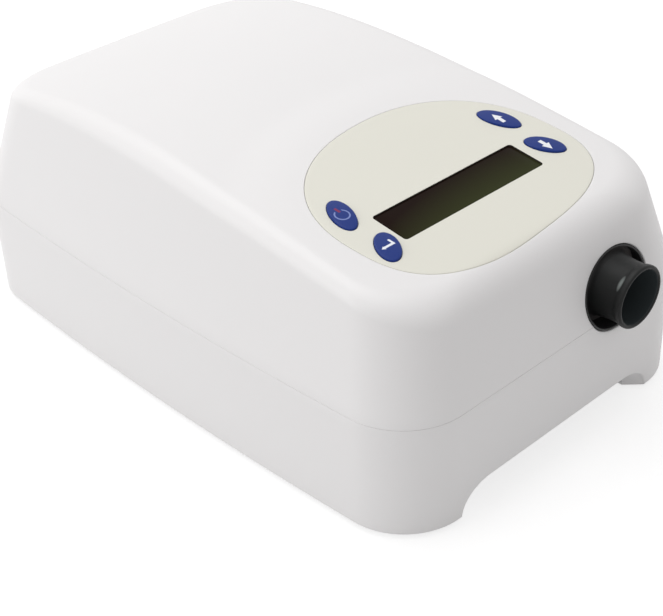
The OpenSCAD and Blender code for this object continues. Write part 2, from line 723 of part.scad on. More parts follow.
module at_volute_exit(y) translate([exit_x, y, outlet_z]) rotate([90, 0, 0]) children();
module at_fan() translate([fan_x, fan_y, 0]) children();
module slab(z0, z1) translate([-case_w, -case_w, z0]) cube([2 * case_w, 2 * case_w, z1 - z0]);
module volute_base() color("#C9CCCF") placed() at_fan() difference() {
    union() {
        intersection() {
            volute_body();
            slab(0, outlet_z);
        }
        translate([0, 0, volute_floor - hub_drop]) cylinder(r = hub_r, h = hub_drop + bearing_h + hub_over);
        for (a = lugs) rotate([0, 0, a]) {
            translate([lug_r(a) - web_l, -web_w / 2, volute_floor]) cube([web_l, web_w, lug_t]);
            translate([lug_r(a), 0, volute_floor]) cylinder(r = grommet_r + lug_rim, h = lug_t);
        }
    }
    translate([0, 0, upper_bearing_z]) cylinder(r = bearing_seat_r, h = bearing_h + 1);
    translate([0, 0, volute_floor - through / 2]) cylinder(r = shaft_d / 2 + race_t, h = through);
    for (a = lugs) rotate([0, 0, a]) translate([lug_r(a), 0, volute_floor - 1])
        cylinder(r = lug_hole_r, h = lug_t + 2);
    // the inside is cleared again where the lugs' webs and the hub reach it
    translate([0, 0, volute_floor + bearing_h + hub_over])
        cylinder(r = spiral_r - 1, h = outlet_z - volute_floor - bearing_h);
    at_joints() translate([0, 0, outlet_z - joint_hole]) cylinder(d = joint_screw_d, h = through);
    at_motor_screws(volute_floor - 1) cylinder(d = motor_screw_d, h = motor_screw_hole + 1);
}
module volute_lid() color("#C9CCCF") placed() at_fan() difference() {
    union() {
        intersection() {
            volute_body();
            slab(outlet_z, 2 * outlet_z);
        }
        translate([0, 0, volute_high]) cylinder(r = eye_d / 2 + eye_rim, h = volute_wall + eye_rise);
    }
    translate([0, 0, volute_high - 1]) cylinder(d = eye_d, h = through);
    // bell mouth
    translate([0, 0, volute_high + volute_wall + eye_rise - eye_round]) rotate_extrude() difference() {
        translate([eye_d / 2 - 1, 0]) square(eye_round + 1);
        translate([eye_d / 2 + eye_round, 0]) circle(eye_round);
    }
    at_joints() translate([0, 0, outlet_z - 1]) cylinder(r = joint_screw_d / 2 + joint_slack, h = through);
}
module volute_screws() color("#B8BABD") placed() at_fan() at_joints()
    translate([0, 0, outlet_z + joint_half]) screw(joint_screw_d, joint_screw_l);

impeller_z = volute_floor + bearing_h + 1.4;
blade_in = eye_d / 2 - 2;
blade_end_in = 0.3;
sweep = 55;
back_disc_t = 1.4;
shroud_t = 1.2;
shroud_lap = 0.6;
impeller_hub = 3.2;
bore_slack = 0.01;
// A blade runs outwards and trails back: its angle grows with its radius
function blade(side, n = 6) = [for (i = [0:n]) let(
    s = side > 0 ? i / n : 1 - i / n,
    r = lerp(blade_in, impeller_d / 2 - blade_end_in, s),
    a = sweep * s + side * blade_t / 2 / r * 180 / PI) [r * cos(a), r * sin(a)]];
module impeller() color("#E9EAEC") placed() at_fan() difference() {
    union() {
        translate([0, 0, impeller_z]) cylinder(d = impeller_d, h = back_disc_t);
        translate([0, 0, impeller_z]) cylinder(r = shaft_d / 2 + impeller_hub, h = impeller_h - 1);
        for (i = [0:blade_count - 1]) rotate([0, 0, 360 * i / blade_count])
            translate([0, 0, impeller_z + 1]) linear_extrude(impeller_h - 2)
                polygon(concat(blade(1), blade(-1)));
        translate([0, 0, impeller_z + impeller_h - shroud_t])
            tube(impeller_d / 2, eye_d / 2 - shroud_lap, shroud_t);
    }
    translate([0, 0, impeller_z - 1]) cylinder(r = shaft_d / 2 + bore_slack, h = impeller_h + through);
}
motor_flange_r = motor_d / 2 + 4;
can_t = 1.4;
can_gap = 0.3;
can_top = volute_floor - hub_drop - can_gap;
race_t = 0.8;
shield_in = 0.3;
motor_screw_d = 1.6;
motor_screw_l = 4;
motor_screw_hole = 1.4;
motor_screw_in = 1.9;
spacer_r = 1.8;
vent_r = 1.6;
vent_z = 4;
module at_motor_screws(z) for (a = [30, 150, 270]) rotate([0, 0, a])
    translate([motor_flange_r - motor_screw_in, 0, z]) children();
can_low = can_top - motor_l;
lower_seat_z = can_low + can_t;
magnet_r = 9.8;
air_gap = 0.5;
magnet_h = 10;
magnet_z = lower_seat_z + bearing_h + 1;
shaft_lift = 0.5;
module rotor_shaft() color("#A9ABAE") placed() at_fan()
    translate([0, 0, lower_seat_z + shaft_lift])
        cylinder(d = shaft_d, h = impeller_z + impeller_h - 1 - shaft_lift - lower_seat_z);
module rotor_magnet() color("#4A4A4E") placed() at_fan()
    translate([0, 0, magnet_z]) tube(magnet_r, shaft_d / 2 + bore_slack, magnet_h);
module bearing() {
    r = bearing_d / 2;
    difference() {
        tube(r, shaft_d / 2 + shaft_gap, bearing_h);
        // the two shields, set in between the races
        for (z = [-1, bearing_h - shield_in]) translate([0, 0, z])
            tube(r - race_t, shaft_d / 2 + race_t, 1 + shield_in);
    }
}
module upper_bearing() color("#A9ABAE") placed() at_fan() translate([0, 0, upper_bearing_z]) bearing();
module lower_bearing() color("#A9ABAE") placed() at_fan() translate([0, 0, lower_seat_z]) bearing();
module motor_can() color("#8E9094") placed() at_fan() difference() {
    union() {
        translate([0, 0, can_low]) cylinder(d = motor_d, h = motor_l);
        translate([0, 0, can_top - can_t]) cylinder(r = motor_flange_r, h = can_t);
        at_motor_screws(can_top - tiny) cylinder(r = spacer_r, h = volute_floor - can_top + tiny);
    }
    translate([0, 0, lower_seat_z]) difference() {
        cylinder(r = motor_d / 2 - can_t, h = motor_l);
        tube(bearing_seat_r + seat_t, bearing_seat_r, bearing_h);
    }
    translate([0, 0, can_low - 1]) cylinder(r = shaft_d / 2 + 1, h = can_t + 2);
    at_motor_screws(can_low) cylinder(r = motor_screw_d / 2 + can_gap, h = motor_l + through);
    for (a = [0:60:300]) rotate([0, 0, a]) translate([motor_d / 2, 0, can_low + vent_z]) rotate([0, 90, 0])
        cylinder(r = vent_r, h = 4 * can_t, center = true);
}
module motor_screws() color("#B8BABD") placed() at_fan() at_motor_screws(can_top - can_t)
    rotate([180, 0, 0]) screw(motor_screw_d, motor_screw_l);
seat_t = 1.6;
teeth = 6;
tooth_w = 2.8;
back_iron = 1.8;
shoe_t = 1.2;
shoe_w = 8;
stack_h = 8;
stack_z = magnet_z + (magnet_h - stack_h) / 2;
stator_r = motor_d / 2 - can_t - press_gap;
pole_r = magnet_r + air_gap;
coil_w = 5.6;
coil_over = 3.4;
coil_gap = 0.2;
core_gap = 0.1;
module stator_core() color("#77797C") placed() at_fan() translate([0, 0, stack_z]) difference() {
    union() {
        tube(stator_r, stator_r - back_iron, stack_h);
        intersection() {
            at_teeth() translate([pole_r - 1, -tooth_w / 2, 0]) cube([stator_r - pole_r, tooth_w, stack_h]);
            cylinder(r = stator_r - back_iron / 2, h = stack_h);
        }
        intersection() {
            tube(pole_r + shoe_t, pole_r, stack_h);
            at_teeth() translate([0, -shoe_w / 2, 0]) cube([stator_r, shoe_w, stack_h]);
        }
    }
    translate([0, 0, -1]) cylinder(r = pole_r, h = stack_h + 2);
}
module at_teeth() for (i = [0:teeth - 1]) rotate([0, 0, 360 * i / teeth]) children();
module stator_coils() color("#B5713A") placed() at_fan() at_teeth()
    translate([pole_r + shoe_t + coil_gap, 0, stack_z + stack_h / 2]) rotate([0, 90, 0]) difference() {
        // the outer corners keep clear of the ring's curve
        linear_extrude(stator_r - back_iron - pole_r - shoe_t - 3 * coil_gap)
            rounded_rect(stack_h + coil_over, coil_w, coil_w / 4);
        translate([0, 0, -1]) linear_extrude(through)
            square([stack_h + core_gap, tooth_w + core_gap], center = true);
    }
module blower_grommets() color("#2A2A2C") placed() at_lugs() translate([0, 0, lug_top]) difference() {
    union() {
        cylinder(r = grommet_r, h = volute_floor - lug_top);
        cylinder(r = lug_hole_r - grommet_gap, h = volute_floor - lug_top + lug_t + 1);
        translate([0, 0, volute_floor - lug_top + lug_t]) cylinder(r = grommet_r, h = grommet_cap);
    }
    translate([0, 0, -1]) cylinder(r = screw_d / 2 + 2 * grommet_gap, h = through);
}
grommet_cap = 2;
grommet_gap = 0.1;
screw_bite = 10;
module blower_screws() color("#B8BABD") placed() at_lugs()
    translate([0, 0, volute_floor + lug_t + grommet_cap])
        screw(screw_d, volute_floor + lug_t + grommet_cap - lug_top + screw_bite);

// ---------------------------------------------------------------- air inlet
box_t = 1.8;
box_inner = 0.1;
lid_rim = 1.6;
lid_rise = 5;
foam_skin = 1;
port_in = 1;
pad_in = 0.3;
cover_gap = 0.3;
cover_sunk = 0.1;
slot_h = 1.4;
slot_corner = 0.6;
slot_pitch = 2.9;
slot_in = 3;
notch_r = 3.4;
notch_across = 12;
notch_up = 0.6;
notch_off = 3;
box_w = 60;
box_gap = 1.6;
box_h = 46;
box_x = -filter_x + 2;
box_back = half_l - wall / 2 - frame_in;
box_l = box_back - fan_y - spiral_at(joint_lugs[1]) - joint_in - joint_boss_r - box_gap;
rise_x = -filter_x + 12;
rise_y = box_back - box_l / 2;
rise_rim = 7;
rise_r = box_l / 2 - rise_rim;
tunnel_r = filter_h / 2 - 2;
module box_block(grow, z0, z1) translate([box_x - box_w / 2 + grow, box_back - box_l + grow, z0])
    cube([box_w - 2 * grow, box_l - 2 * grow, z1 - z0]);
module silencer_box() color("#D2D4D6") placed() difference() {
    box_block(0, floor_z, floor_z + box_h);
    box_block(box_t, floor_z + box_t, floor_z + box_h + 1);
    at_filter(box_back + 1) linear_extrude(box_t + 2) filter_rect(-port_in);
}
module silencer_lid() color("#D2D4D6") placed() translate([0, 0, floor_z + box_h]) difference() {
    union() {
        translate([box_x - box_w / 2, box_back - box_l, 0]) cube([box_w, box_l, box_t]);
        translate([rise_x, rise_y, 0]) cylinder(r = rise_r + lid_rim, h = lid_rise);
    }
    translate([rise_x, rise_y, -1]) cylinder(r = rise_r, h = through);
}
module silencer_foam() color("#55565A") placed() difference() {
    box_block(box_t + box_inner, floor_z + box_t, floor_z + box_h - box_inner);
    translate([rise_x, rise_y, filter_z]) cylinder(r = rise_r - foam_skin, h = box_h);
    translate([-filter_x, rise_y, filter_z]) along_y() cylinder(r = tunnel_r, h = box_l);
    translate([-filter_x, rise_y, filter_z]) rotate([0, 90, 0]) cylinder(r = tunnel_r, h = rise_x + filter_x);
    translate([rise_x, rise_y, filter_z]) sphere(r = rise_r - foam_skin);
}
module filter_pad() color("#F4F4F0") placed()
    at_filter(half_l - cover_t - cover_sunk - pad_in) linear_extrude(filter_t) filter_rect(-pad_in);
slot_n = 7;
module filter_cover() color("#E8E8EA") placed() difference() {
    at_filter(half_l) linear_extrude(cover_t - cover_sunk) filter_rect(cover_rim - cover_gap);
    for (i = [0:slot_n - 1]) at_filter(half_l + 1) translate([0, (i - (slot_n - 1) / 2) * slot_pitch])
        linear_extrude(cover_t + 2) rounded_rect(filter_w - 2 * slot_in, slot_h, slot_corner);
    // finger notch at the bottom edge
    translate([-filter_x, half_l + notch_off, filter_z - filter_h / 2 - cover_rim + notch_up])
        rotate([0, 90, 0]) cylinder(r = notch_r, h = notch_across, center = true);
}

// ---------------------------------------------------------------- electronics
module main_board() color("#2F6B45") placed() difference() {
    translate([main_x - main_w / 2, main_y - main_l / 2, board_z]) cube([main_w, main_l, board_t]);
    at_main_posts() translate([0, 0, board_z - 1]) cylinder(d = board_screw_d + 2 * fit_gap, h = board_t + 2);
}
deck = board_z + board_t;
plug_l = 6;
plug_y = main_l / 2 - 10;
ribbon_at = -main_w / 2 + 16;
// Places on the board from its middle, and sizes
capacitor_r = 5;
capacitor_h = 13;
capacitor_pitch = 12;
processor = [14, 14, 1.6];
driver = [10, 7, 1.6];
choke_r = 6;
choke_h = 7;
power_plug = [9, plug_l, 7];
motor_plug = [12, plug_l, 7];
ribbon_plug_h = 6;
sounder_r = 6;
sounder_h = 4.5;
module board_parts() color("#2B2B30") placed() translate([main_x, main_y, deck]) {
    // storage capacitors
    for (i = [0:2]) translate([ribbon_at - 3 + capacitor_pitch * i, plug_y - capacitor_r, 0])
        cylinder(r = capacitor_r, h = capacitor_h);
    // processor and driver chips
    translate([-14, -8, 0]) cube(processor);
    translate([6, -2, 0]) cube(driver);
    // coil of the supply
    translate([-30, 2, 0]) tube(choke_r, 0.4 * choke_r, choke_h);
    // sockets of the three leads and the ribbon
    translate([24, plug_y, 0]) cube(power_plug);
    translate([-2, plug_y, 0]) cube(motor_plug);
    translate([ribbon_at - ribbon_w / 2 - 2, plug_y + 2, 0]) cube([ribbon_w + 4, plug_l - 1, ribbon_plug_h]);
    // sounder
    translate([-10, -26, 0]) cylinder(r = sounder_r, h = sounder_h);
}
sink_l = 14;
sink_base = 2;
fin_h = 9;
fin_t = 1.5;
fin_pitch = 4.1;
fin_n = 6;
module heat_sink() color("#9A9CA0") placed() translate([main_x + 12, main_y + 7, deck]) {
    cube([(fin_n - 1) * fin_pitch + fin_t, sink_l, sink_base]);
    for (i = [0:fin_n - 1]) translate([i * fin_pitch, 0, sink_base - tiny]) cube([fin_t, sink_l, fin_h]);
}
board_screw_l = 5.6;
module board_screws() color("#B8BABD") placed() at_main_posts()
    translate([0, 0, deck]) screw(board_screw_d, board_screw_l);
sensor_h = 6;
sensor_w = 10.4;
module pressure_sensor() color("#E6E6E2") placed() translate([outlet_x, nipple_y, deck]) difference() {
    union() {
        translate([-sensor_w / 2, -sensor_w / 2, 0]) cube([sensor_w, sensor_w, sensor_h]);
        cylinder(r = nipple_r, h = sensor_h + sensor_nipple);
    }
    translate([0, 0, 1]) cylinder(r = nipple_bore, h = through);
}
sensor_nipple = 4;
tube_end = 0.5;
tube_gap = 0.8;
module pressure_tube() color("#C4D0D6") placed() translate([outlet_x, nipple_y, deck + sensor_h + tube_end])
    tube(nipple_r + 1, nipple_r + press_gap, outlet_z - air_r - tube_gap - deck - sensor_h - tube_end);

socket_depth = 9.5;
socket_back = 15;
socket_block = [13, 12, 11];
// The pin stands on a thicker root that is moulded into the socket
pin_root_d = pin_d + 0.8;
pin_root_l = 2.9;
module at_socket(y) translate([socket_x, y, socket_z]) rotate([90, 0, 0]) children();
module dc_socket() color("#28282B") placed() difference() {
    union() {
        at_socket(half_l) cylinder(r = socket_r, h = wall + socket_collar);
        translate([socket_x, half_l - wall - socket_back, socket_z] - [socket_block[0], 0, socket_block[2]] / 2)
            cube(socket_block);
    }
    at_socket(half_l + 1) cylinder(d = socket_bore, h = socket_depth + 1);
    at_socket(half_l) cylinder(r = pin_root_d / 2 + bore_slack, h = socket_depth + pin_root_l + pin_slack);
}
pin_slack = 0.1;
module dc_socket_pin() color("#C8B070") placed() at_socket(half_l) {
    translate([0, 0, socket_depth - pin_l]) cylinder(d = pin_d, h = pin_l + 1);
    translate([0, 0, socket_depth]) cylinder(d = pin_root_d, h = pin_root_l);
}

// ---------------------------------------------------------------- wiring inside
// A round lead that follows its points in one soft curve, with straight ends
function spline(p, n = 6) = let(m = len(p)) concat([p[0]], [for (i = [1:m - 2], k = [0:n]) let(
    t = k / n,
    a = (p[i - 1] + p[i]) / 2,
    b = (p[i] + p[i + 1]) / 2)
    if (i == 1 || k > 0) (1 - t) * (1 - t) * a + 2 * t * (1 - t) * p[i] + t * t * b], [p[m - 1]]);
function unit(v) = v / norm(v);
module lead(points, r, sides = 8) {
    p = spline(points);
    m = len(p);
    rings = [for (i = [0:m - 1]) let(
        t = unit(p[min(i + 1, m - 1)] - p[max(i - 1, 0)]),
        u = unit(cross(t, [0.31, 0.17, 1])),
        v = cross(u, t))
        [for (k = [0:sides - 1]) p[i] + r * (cos(360 * k / sides) * u + sin(360 * k / sides) * v)]];
    loft(p[0], rings, p[m - 1]);
}
lead_r = 0.9;
motor_lead_pitch = 2.2;
power_lead_pitch = 4;
power_plug_pitch = 3;
plugs_end = main_y + plug_y + plug_l;
// Straight in plan, rising from the board to the can's side
module motor_leads() color("#C23B2E") placed() for (i = [0:2]) let(
    x = main_x + 4.6 + motor_lead_pitch * i,
    end = fan_y - sqrt(pow(motor_d / 2, 2) - pow(x - fan_x - lead_r, 2)) - fit_gap)
    lead([[x, plugs_end, deck + 4], [x, plugs_end + 4, deck + 4], [x, end - 10, can_low + 1],
          [x, end - 4, can_low + 4], [x, end, can_low + 4]], lead_r);
module power_leads() color("#2A2A2C") placed() for (i = [0:1]) let(
    x0 = socket_x + (i - 0.5) * power_lead_pitch,
    y0 = half_l - wall - socket_back,
    x1 = main_x + 27 + power_plug_pitch * i)
    lead([[x0, y0 - fit_gap, socket_z], [x0, y0 - 4, socket_z], [x0 - 6, y0 - 22, socket_z],
          [x0 - 6, fan_y, socket_z], [x0 - 5, plugs_end + 27, deck + 6], [x1, plugs_end + 9, deck + 4],
          [x1, plugs_end, deck + 4]], lead_r);
ribbon_w = 14;
ribbon_t = 0.5;
ribbon_steps = 12;
// The flat cable rises from one board to the other in a soft S
function ribbon_side(steps, off) = let(
    y0 = main_y + plug_y + 4.5,
    y1 = -display_y + board_back - 6,
    z1 = panel_top(y1) - (board_top + board_t + ribbon_t) / cos(panel_tilt))
    [for (i = steps) let(t = i / ribbon_steps)
        [lerp(y0, y1, ease(t)) + off, lerp(deck + ribbon_plug_h, z1, t)]];
module display_ribbon() color("#C9C6BE") placed() translate([main_x + ribbon_at - ribbon_w / 2, 0, 0])
    rotate([90, 0, 90]) linear_extrude(ribbon_w)
        polygon(concat(ribbon_side([0:ribbon_steps], ribbon_t / 2),
                       ribbon_side([ribbon_steps:-1:0], -ribbon_t / 2)));

lower_casing();
upper_casing();
panel_overlay();
display_lens();
lcd_module();
display_board();
tact_switches();
display_screws();
power_button();
enter_button();
up_button();
down_button();
outlet_connector();
outlet_grommet();
outlet_duct();
volute_base();
volute_lid();
volute_screws();
impeller();
rotor_shaft();
rotor_magnet();
upper_bearing();
lower_bearing();
motor_can();
stator_core();
stator_coils();
motor_screws();
blower_grommets();
blower_screws();
silencer_box();
silencer_lid();
silencer_foam();
filter_pad();
filter_cover();
main_board();
board_parts();
heat_sink();
board_screws();
pressure_sensor();
pressure_tube();
dc_socket();
dc_socket_pin();
display_ribbon();
motor_leads();
power_leads();
rubber_feet();
case_screws();
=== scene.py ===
# %% [markdown]
# # A bedside breathing-air machine
# The CAD model gives the size, the joints and the inside. This lesson builds the finished
# outside round it: a two-part moulded casing, a face plate with a display and four keys,
# and the dark air outlet. Every surface is worked out with numpy from the same few lengths
# as the CAD model, only much finer, so nothing has to be fitted by eye.

# %% Load the fixed frame
import json
import math
import bpy
import numpy as np
from mathutils import Matrix, Vector


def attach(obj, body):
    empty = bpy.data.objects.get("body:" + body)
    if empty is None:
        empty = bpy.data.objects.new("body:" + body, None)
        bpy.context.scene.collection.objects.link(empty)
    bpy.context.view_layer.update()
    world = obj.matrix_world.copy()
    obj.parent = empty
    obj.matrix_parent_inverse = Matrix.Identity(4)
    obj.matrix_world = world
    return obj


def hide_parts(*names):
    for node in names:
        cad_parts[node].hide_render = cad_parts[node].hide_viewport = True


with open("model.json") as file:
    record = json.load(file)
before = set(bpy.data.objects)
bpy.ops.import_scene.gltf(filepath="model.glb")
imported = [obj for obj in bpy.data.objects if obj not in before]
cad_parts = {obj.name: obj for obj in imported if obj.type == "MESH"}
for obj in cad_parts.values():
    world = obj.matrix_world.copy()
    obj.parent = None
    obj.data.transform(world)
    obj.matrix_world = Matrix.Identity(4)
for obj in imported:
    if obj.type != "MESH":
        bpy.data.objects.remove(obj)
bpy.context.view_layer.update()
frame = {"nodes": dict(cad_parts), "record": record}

# %% [markdown]
# ## Millimetres and places
# Product drawings are in millimetres and Blender works in metres. All shapes below are drawn
# in millimetres about the middle of the casing, with its underside at zero, and one function
# carries them into the frame of the CAD model.

# %% Units
# How far the outlet stands out in front of the casing, and the height of the feet below it
SPIGOT_OUT = 7.5
FOOT_H = 1.2
SHIFT = np.array([0.0, SPIGOT_OUT / 2, FOOT_H])


def row(points):
    """Casing millimetres to the frame's metres: add the shift, then divide by 1000."""
    return (np.asarray(points, float) + SHIFT) / 1000.0


# %% [markdown]
# ## From arrays to a mesh
# A surface is a stack of closed rings with the same number of points. Neighbouring rings are
# joined by quads, and a pole closes each end. Whole arrays go into the mesh in one call each,
# which is far quicker than adding vertices one by one.

# %% Mesh builder
def ring_quads(rows, n):
    """Quad (k, i), (k+1, i), (k+1, i+1), (k, i+1) for each ring k and column i, with i wrapping."""
    i = np.arange(n)
    j = (i + 1) % n
    k = np.arange(rows - 1)[:, None] * n
    return np.stack([k + i, k + n + i, k + n + j, k + j], -1).reshape(-1, 4)


def build(name, points, quads, tris):
    """A mesh object from points in casing millimetres, turned so that its faces point outwards."""
    corners = points[quads]
    fans = points[tris] if len(tris) else np.zeros((0, 3, 3))
    inside = (np.einsum("ij,ij->i", corners[:, 0], np.cross(corners[:, 1], corners[:, 2])).sum()
              + np.einsum("ij,ij->i", corners[:, 0], np.cross(corners[:, 2], corners[:, 3])).sum()
              + np.einsum("ij,ij->i", fans[:, 0], np.cross(fans[:, 1], fans[:, 2])).sum())
    if inside < 0:
        quads, tris = quads[:, ::-1], tris[:, ::-1] if len(tris) else tris
    mesh = bpy.data.meshes.new(name)
    mesh.vertices.add(len(points))
    mesh.vertices.foreach_set("co", row(points).ravel())
    loops = np.concatenate([quads.ravel(), np.asarray(tris, int).ravel()])
    starts = np.concatenate([np.arange(len(quads)) * 4, len(quads) * 4 + np.arange(len(tris)) * 3])
    mesh.loops.add(len(loops))
    mesh.loops.foreach_set("vertex_index", loops)
    mesh.polygons.add(len(starts))
    mesh.polygons.foreach_set("loop_start", starts)
    mesh.update(calc_edges=True)
    mesh.validate()
    obj = bpy.data.objects.new(name, mesh)
    bpy.context.scene.collection.objects.link(obj)
    return obj


def stack(name, rings, first=None, last=None):
    """A closed skin over rings, an array (rows, n, 3), with a pole at each end, or with its last
    ring joined back to its first when no poles are given."""
    rings = np.asarray(rings, float)
    rows, n, _ = rings.shape
    points = rings.reshape(-1, 3)
    quads = ring_quads(rows, n)
    i = np.arange(n)
    j = (i + 1) % n
    if first is None:
        back = (rows - 1) * n
        quads = np.concatenate([quads, np.stack([back + i, i, j, back + j], -1)])
        tris = np.zeros((0, 3), int)
    else:
        a, b = len(points), len(points) + 1
        end = (rows - 1) * n
        tris = np.concatenate([np.stack([np.full(n, a), i, j], -1),
                               np.stack([np.full(n, b), end + j, end + i], -1)])
        points = np.concatenate([points, [first], [last]])
    return build(name, points, quads, tris)


def finish_shading(obj, degrees=32.0):
    """Smooth faces, with a crisp edge wherever two faces meet at more than the given angle."""
    obj.data.polygons.foreach_set("use_smooth", np.ones(len(obj.data.polygons), bool))
    obj.data.set_sharp_from_angle(angle=math.radians(degrees))
    return obj


def carve(obj, cutters):
    """Subtracts the closed cutters from obj in turn, and keeps only the result."""
    for cutter in cutters:
        cut = obj.modifiers.new("cut", "BOOLEAN")
        cut.operation = "DIFFERENCE"
        cut.solver = "MANIFOLD"
        cut.object = cutter
    bpy.context.view_layer.update()
    made = bpy.data.meshes.new_from_object(obj.evaluated_get(bpy.context.evaluated_depsgraph_get()))
    obj.modifiers.clear()
    made.name = obj.name
    obj.data = made
    for cutter in cutters:
        bpy.data.objects.remove(cutter)
    print(obj.name, len(made.polygons), "faces after", len(cutters), "cuts")
    return obj


# %% [markdown]
# ## The casing's plan
# Seen from above the casing is a rounded rectangle whose long sides bow out a little. Each
# column of the skin is one point of that outline: a place on an inner core rectangle and an
# outward direction. Moving inwards by an inset is then the same sum for every column.

# %% Plan
# Half the width and the length, how far the long sides bow out, and the corners' radius
HALF_W, HALF_L = 71.0, 115.5
BOW, CORNER = 4.2, 22.5
# The seam's height and width, the wall's thickness and the height of the lip inside the seam
SEAM, SEAM_GAP, WALL, LIP = 41.0, 0.07, 2.6, 3.0
# How far the wall moves inwards for each millimetre of height above the seam
LEAN = 0.25
LEAN_LEN = math.hypot(1.0, LEAN)


def core_table(side, end, corner):
    """Columns [place x, place y, direction x, direction y], anticlockwise from the right side."""
    s = np.arange(side) / side * 2 - 1
    e = 1 - np.arange(end) / end * 2
    one_s, one_e, one_c = np.ones(side), np.ones(end), np.ones(corner)
    blocks = [np.stack([one_s, s, one_s, 0 * s], 1)]
    for q, (sx, sy) in enumerate([(1, 1), (-1, 1), (-1, -1), (1, -1)]):
        t = np.radians(90 * q + 90 * np.arange(corner) / corner)
        blocks.append(np.stack([sx * one_c, sy * one_c, np.cos(t), np.sin(t)], 1))
        if q == 0:
            blocks.append(np.stack([e, one_e, 0 * e, one_e], 1))
        if q == 1:
            blocks.append(np.stack([-one_s, -s, -one_s, 0 * s], 1))
        if q == 2:
            blocks.append(np.stack([-e, -one_e, 0 * e, -one_e], 1))
    return np.concatenate(blocks)


def plan(c, inset, r):
    """x and y of the outline moved inwards by inset, with corner radius r: core point plus r times
    the direction, then x widened by bow * (1 - (y / half length) squared) at the sides."""
    x = c[:, 0] * (HALF_W - inset - r) + r * c[:, 2]
    y = c[:, 1] * (HALF_L - inset - r) + r * c[:, 3]
    return x + x / HALF_W * BOW * (1 - (y / HALF_L) ** 2), y


columns = core_table(side=88, end=60, corner=30)
print("columns round the casing", len(columns))

# %% [markdown]
# ## The top surface
# Along its length the top is one long arch, a cubic curve that is highest behind the middle.
# The face plate needs a flat seat, so round it the arch blends into a plane that slopes
# forward by 8 degrees. The blend is a smooth step, which leaves no visible line.

# %% Top surface
# Heights at the front, the middle and the back, then the arch's swell and crown
TOP_FRONT, TOP_MID, TOP_BACK = 75.3, 88.24, 78.6
SWELL, CROWN = 7.9, 0.3
# How much lower the back corners are, and the shares of the half length where that starts
# and over which it grows
BACK_DROP, DROP_FROM, DROP_RUN = 1.1, 0.55, 0.45
# The face plate's width, its reach in front of and behind its middle, and the powers that
# say how square its outline is there
PANEL_W, PANEL_FRONT, PANEL_REAR = 101.5, 34.0, 43.2
FRONT_POWER, BACK_POWER = 2.8, 2.2
PANEL_TURN, TILT = math.radians(5.0), math.radians(8.0)
DISPLAY_Y, DISPLAY_Z = -71.2, 80.3
PANEL_X, PANEL_Y = 1.8, DISPLAY_Y + 4.1
# Where the plane ends and how far the blend into the arch reaches, in sizes of the plate
BLEND_FROM, BLEND_RUN = 1.06, 0.5


def smooth_step(t):
    """3 t squared - 2 t cubed between 0 and 1."""
    t = np.clip(t, 0.0, 1.0)
    return t * t * (3 - 2 * t)


def panel_plane(y):
    """The sloping plane through the display's centre."""
    return DISPLAY_Z + math.tan(TILT) * (y - DISPLAY_Y)


def panel_rho(x, y):
    """1 on the face plate's edge: (|u/a|^p + |v/b|^p)^(1/p), with its own b and p in front and
    behind, where u and v are x and y about the plate's middle, turned back by the plate's turn."""
    dx, dy = x - PANEL_X, y - PANEL_Y
    u = dx * math.cos(PANEL_TURN) + dy * math.sin(PANEL_TURN)
    v = dy * math.cos(PANEL_TURN) - dx * math.sin(PANEL_TURN)
    p = np.where(v < 0, FRONT_POWER, BACK_POWER)
    b = np.where(v < 0, PANEL_FRONT, PANEL_REAR)
    return (np.abs(u / (PANEL_W / 2)) ** p + np.abs(v / b) ** p) ** (1 / p)


def top_height(x, y):
    """A cubic arch in u = y / half length, plus crown * (1 - v^2) with v = x / half width, less
    the drop of the back corners, blended into the panel's plane by a smooth step."""
    u, v = y / HALF_L, x / HALF_W
    d = np.clip((u - DROP_FROM) / DROP_RUN, 0, 1)
    arch = (TOP_MID + (TOP_BACK - TOP_FRONT) / 2 * u + ((TOP_BACK + TOP_FRONT) / 2 - TOP_MID) * u * u
            - SWELL * (u ** 3 - u) + CROWN * (1 - v * v) - BACK_DROP * d * d * v * v)
    t = smooth_step((panel_rho(x, y) - BLEND_FROM) / BLEND_RUN)
    return panel_plane(y) * (1 - t) + arch * t


# %% [markdown]
# ## The rounded shoulder
# In an upright section the wall leans in and meets the top in a circular arc. The arc touches
# both lines, so its centre is where the line parallel to the wall and the line parallel to the
# top cross. The radius is 12.2 mm at the front, 8.5 mm at the back and 7.5 mm at the sides.

# %% Shoulder
SIDE_FILLET, FRONT_FILLET, BACK_FILLET = 7.5, 12.2, 8.5
# The top's slope is read where the arc's centre would be this share of its radius below the top
FIRST_GUESS = 0.3


def shoulder(c):
    """Radius, centre height, centre inset and the two end angles of the arc, for each column."""
    end_r = np.where(c[:, 3] < 0, FRONT_FILLET, BACK_FILLET)
    r = SIDE_FILLET * c[:, 2] ** 2 + end_r * c[:, 3] ** 2
    ridge = plan(c, LEAN * SEAM, CORNER)
    inset = LEAN * (top_height(*ridge) - SEAM - FIRST_GUESS * r) + r
    z0 = top_height(*plan(c, inset, CORNER))
    slope = z0 - top_height(*plan(c, inset + 1, CORNER))
    zc = ((z0 + slope * inset + slope * (LEAN * SEAM - r * LEAN_LEN) - r * np.sqrt(1 + slope ** 2))
          / (1 + slope * LEAN))
    low = np.full(len(c), math.atan(LEAN))
    return r, zc, LEAN * (zc - SEAM) + r * LEAN_LEN, low, np.arctan2(1, -slope)


def arc_ring(c, k, off):
    """Ring at share k of the arc, moved inwards by off: centre plus (r - off) times (cos, sin)."""
    r, zc, centre_in, low, high = shoulder(c)
    a = low + (high - low) * k
    x, y = plan(c, centre_in - (r - off) * np.cos(a), CORNER - off * np.cos(a))
    return np.stack([x, y, zc + (r - off) * np.sin(a)], 1)


